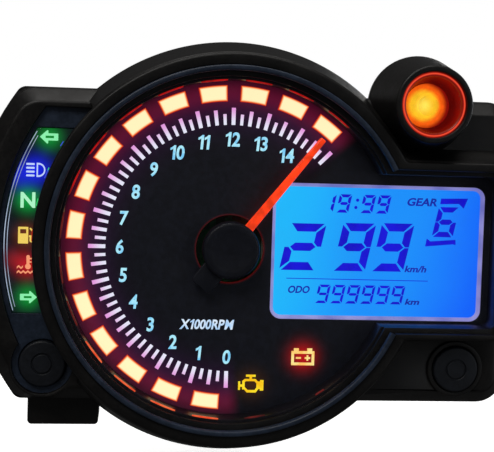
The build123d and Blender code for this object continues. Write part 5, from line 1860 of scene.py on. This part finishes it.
# ---- shift lamp
@dataclass
class Lamp:
    """The shift lamp: a turned housing, a trim ring, a lens, and a reflector and dome behind it."""

    housing_rim: float = 10.6
    bore: float = 8.9
    shelf_hole: float = 8.3
    cavity: float = 9.0
    floor: float = 3.6
    boss: float = 3.0

    @property
    def spot(self) -> Array:
        """Centre of the lamp."""
        return centre_of("lamp_housing")

    def housing(self) -> Shell:
        """The housing: a flared cone with a rounded rim, a shelf for the ring and a cavity behind."""
        low, high = low_of("lamp_housing"), high_of("lamp_housing")
        shelf = low_of("lamp_trim_ring") - 0.05
        profile = [(0.0, low), (11.6, low), (12.0, low + 0.08), (13.1, low + 0.45), (13.5, low + 0.8),
                   (14.25, low + 2.1), (14.4, low + 2.6), (14.4, low + 3.6), (14.3, low + 4.1)]
        profile += [(self.housing_rim + 0.06, high - 1.1)]
        profile += corner(self.housing_rim - 0.75, high - 0.75, 0.75, 5, 90, 7)
        profile += corner(self.bore + 0.35, high - 0.35, 0.35, 90, 180, 5)
        profile += [(self.bore, shelf), (self.shelf_hole, shelf), (self.shelf_hole, shelf - 1.0),
                    (self.cavity, shelf - 1.0), (self.cavity, low + self.floor), (0.0, low + self.floor)]
        return lathe(profile, self.spot, 128)

    def trim_ring(self) -> Shell:
        """The lit ring round the lens, a bead with a rounded front."""
        low, high = low_of("lamp_trim_ring"), high_of("lamp_trim_ring")
        profile = [(7.62, low), (8.83, low), (8.83, high - 0.5)] + corner(8.33, high - 0.5, 0.5, 0, 90, 6)
        profile += corner(8.12, high - 0.5, 0.5, 90, 180, 6) + [(7.62, low)]
        return lathe(profile, self.spot, 112)

    def lens(self) -> Shell:
        """The red lens: gently domed and ringed with shallow steps."""
        low, high = low_of("lamp_lens"), high_of("lamp_lens")
        radii = np.linspace(7.5, 0.0, 40)
        swell = high - 0.5 + 0.5 * (1 - (radii / 7.5) ** 2)
        profile = [(0.0, low), (7.5, low), (7.5, high - 0.5)] + list(zip(radii[1:], swell[1:]))
        return lathe(profile, self.spot, 112)

    def diffuser(self) -> Shell:
        """The amber dome with concentric ridges."""
        low, high = low_of("lamp_diffuser"), high_of("lamp_diffuser")
        radii = np.linspace(6.1, 0.0, 90)
        ridge = 0.12 * (1 - np.abs((radii / 0.8) % 1.0 - 0.5) * 2)
        swell = (high - low - 1.0) * np.sqrt(np.clip(1 - (radii / 6.15) ** 2, 0, 1))
        heights = low + 0.5 + swell + ridge * (radii > 0.3)
        heights += 0.34 * (radii < self.boss) - 0.3 * (np.abs(radii - self.boss - 0.15) < 0.14)
        profile = [(0.0, low), (6.1, low)] + list(zip(radii, heights))
        return lathe(profile, self.spot, 112)

    def build(self) -> None:
        """Makes the lamp's pieces."""
        x, z = (float(v) for v in self.spot)
        put("lamp_housing_turned", self.housing(), CASE_BLACK, replaces=["lamp_housing"], sharp=24)
        bead = ((0.86, (96, 8, 6)), (0.905, (130, 14, 9)), (0.94, (246, 78, 50)), (0.985, (140, 18, 12)))
        ring = LampLight((x, z), (0.0, 0.0), 8.85, bead, mottle=0.01)
        put("lamp_trim_ring_lit", self.trim_ring(), ring, replaces=["lamp_trim_ring"])
        red = Glass((200, 24, 10), (200, 20, 8), 0.15, 0.12)
        put("lamp_lens_domed", self.lens(), red, replaces=["lamp_lens"])
        fire = ((0.0, (255, 240, 90)), (0.42, (255, 206, 40)), (0.68, (252, 100, 16)), (0.92, (120, 10, 6)))
        light = LampLight((x, z), (-1.3, 0.0), 7.4, fire, strength=1.2, ridged=0.5, mottle=0.06)
        put("lamp_dome_ridged", self.diffuser(), light, replaces=["lamp_diffuser"])


# ---- buttons
@dataclass
class Buttons:
    """The two push buttons: turned caps with a ring groove, a flange and a plunger."""

    groove_inner: float = 2.5
    groove_outer: float = 3.0
    groove: float = 0.4
    flange_low: float = 23.6
    flange_high: float = 24.9

    def cap(self, node: str) -> Shell:
        """A button turned from its profile.

        Args:
            node: the button's CAD node.

        Returns:
            The turned button.
        """
        low, high = low_of(node), high_of(node)
        spot = centre_of(node)
        flange = reach_of(node)
        radius = flange - 0.8
        profile = [(0.0, low), (1.5, low), (1.6, low + 0.1), (1.6, self.flange_low), (flange - 0.1, self.flange_low),
                   (flange, self.flange_low + 0.1), (flange, self.flange_high - 0.1), (flange - 0.1, self.flange_high),
                   (radius, self.flange_high), (radius, high - 0.6)]
        profile += corner(radius - 0.6, high - 0.6, 0.6, 0, 90, 7)
        inner, outer = self.groove_inner, self.groove_outer
        profile += [(outer + 0.12, high), (outer, high - 0.1), (outer - 0.05, high - self.groove)]
        profile += [(inner + 0.05, high - self.groove), (inner, high - 0.1), (inner - 0.12, high)]
        profile += [(1.4, high - 0.03), (0.0, high - 0.05)]
        return lathe(profile, spot, 96)

    def build(self) -> None:
        """Makes both buttons."""
        put("left_button_turned", self.cap("left_button"), BUTTON_BLACK, Body.LEFT_PUSH, ["left_button"])
        put("right_button_turned", self.cap("right_button"), BUTTON_BLACK, Body.RIGHT_PUSH,
            ["right_button"])


# ---- studio
@dataclass
class Studio:
    """The camera, the lights and the pale surroundings."""

    heading: float = 5.79
    tilt: float = 3.87
    roll: float = 1.75
    location: tuple = (-0.0272, -0.3401, 0.0279)
    focal: float = 82.35
    sensor: float = 36.0
    ambient: float = 0.07

    def camera(self) -> None:
        """Aims the camera by its heading, its tilt down and its roll."""
        turn, dip, lean = radians(self.heading), radians(self.tilt), radians(self.roll)
        forward = Vector((cos(dip) * sin(turn), cos(dip) * cos(turn), -sin(dip)))
        side = Vector((cos(turn), -sin(turn), 0.0))
        rise = Vector((sin(dip) * sin(turn), sin(dip) * cos(turn), cos(dip)))
        right = side * cos(lean) + rise * sin(lean)
        up = rise * cos(lean) - side * sin(lean)
        data = bpy.data.cameras.new("camera")
        data.lens, data.sensor_width, data.sensor_fit = self.focal, self.sensor, "HORIZONTAL"
        data.clip_start, data.clip_end = 0.01, 20.0
        holder = bpy.data.objects.new("camera", data)
        turned = Matrix((right, up, -forward)).transposed().to_4x4()
        holder.matrix_world = Matrix.Translation(self.location) @ turned
        bpy.context.scene.collection.objects.link(holder)
        bpy.context.scene.camera = holder

    def light(self, name: str, place: Sequence[float], target: Sequence[float], size: Sequence[float],
              power: float, colour: Sequence[float] = (1.0, 0.98, 0.95)) -> None:
        """Adds a rectangular area light aimed at a point.

        Args:
            name: the light's name.
            place: where it stands, in metres.
            target: where it points.
            size: its width and height.
            power: its power in watts.
            colour: its colour.
        """
        data = bpy.data.lights.new(name, "AREA")
        data.shape, data.energy, data.color = "RECTANGLE", power, colour
        data.size, data.size_y = size
        holder = bpy.data.objects.new(name, data)
        aim = Vector(target) - Vector(place)
        holder.location = place
        holder.rotation_euler = aim.to_track_quat("-Z", "Y").to_euler()
        bpy.context.scene.collection.objects.link(holder)

    def surroundings(self) -> None:
        """A pale round floor just under the object; it glows a little but casts no light on the object."""
        low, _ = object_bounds()
        ground = low.z - 0.002
        turn = np.linspace(0, 2 * np.pi, 96, endpoint=False)
        rings = [np.column_stack([reach * np.cos(turn), reach * np.sin(turn), np.full(96, ground)])
                 for reach in (0.15, 0.6, 1.6)]
        index = np.arange(288).reshape(3, 96)
        faces = np.stack([index[:-1], index[1:], np.roll(index[1:], -1, 1), np.roll(index[:-1], -1, 1)], -1)
        mesh = bpy.data.meshes.new("floor")
        mesh.from_pydata(np.concatenate(rings).tolist(), [], [index[0].tolist()] + faces.reshape(-1, 4).tolist())
        mesh.materials.append(Glow((255, 255, 255), (252, 252, 252), 0.82, (238, 238, 238), 300.0).material())
        floor = bpy.data.objects.new("floor", mesh)
        bpy.context.scene.collection.objects.link(floor)
        floor.visible_diffuse = floor.visible_glossy = False
        floor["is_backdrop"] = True

    def sky(self) -> None:
        """A world that is white to look at and lights the object only faintly."""
        world = bpy.data.worlds.new("studio")
        bpy.context.scene.world = world
        nodes = Nodes(world)
        plain = (1, 1, 1, 1)
        dim, white = (nodes.node("ShaderNodeBackground", None, {"Color": plain, "Strength": power}).outputs[0]
                      for power in (self.ambient, 1.0))
        seen = nodes.node("ShaderNodeLightPath").outputs["Is Camera Ray"]
        mix = nodes.node("ShaderNodeMixShader", None, {0: seen, 1: dim, 2: white})
        nodes.node("ShaderNodeOutputWorld", None, {"Surface": mix.outputs[0]})

    def build(self) -> None:
        """Sets the scene up."""
        self.camera()
        self.surroundings()
        self.light("key", (-0.35, -0.7, 0.75), (0.0, -0.02, 0.0), (0.5, 0.4), 3.0)
        self.light("fill", (0.6, -0.55, 0.1), (0.0, -0.02, 0.0), (0.4, 0.6), 0.7, (0.9, 0.95, 1.0))
        self.light("top", (0.0, -0.05, 0.7), (0.0, -0.02, 0.0), (0.6, 0.3), 1.5)
        self.light("rear", (0.1, 0.95, 0.05), (0.0, 0.0, 0.0), (0.6, 0.4), 3.0)
        self.light("rear_fill", (0.6, 0.5, 0.1), (0.0, 0.0, 0.0), (0.4, 0.6), 2.0, (0.9, 0.95, 1.0))
        self.sky()
        bpy.context.scene.view_settings.view_transform = "Standard"


def main() -> None:
    """Dresses the CAD parts and builds every sub-assembly in turn."""
    dress_frame()
    case = Case()
    dial = Dial(case)
    bezel = Bezel(case)
    case.build()
    bezel.build()
    bezel.glints(dial.start, dial.pitch, dial.segments, 9.0)
    dial.build()
    Display().build(dial.window())
    Needle().build()
    TelltaleArc().build()
    Lamp().build()
    Buttons().build()
    Studio().build()


if __name__ == "__main__":
    main()
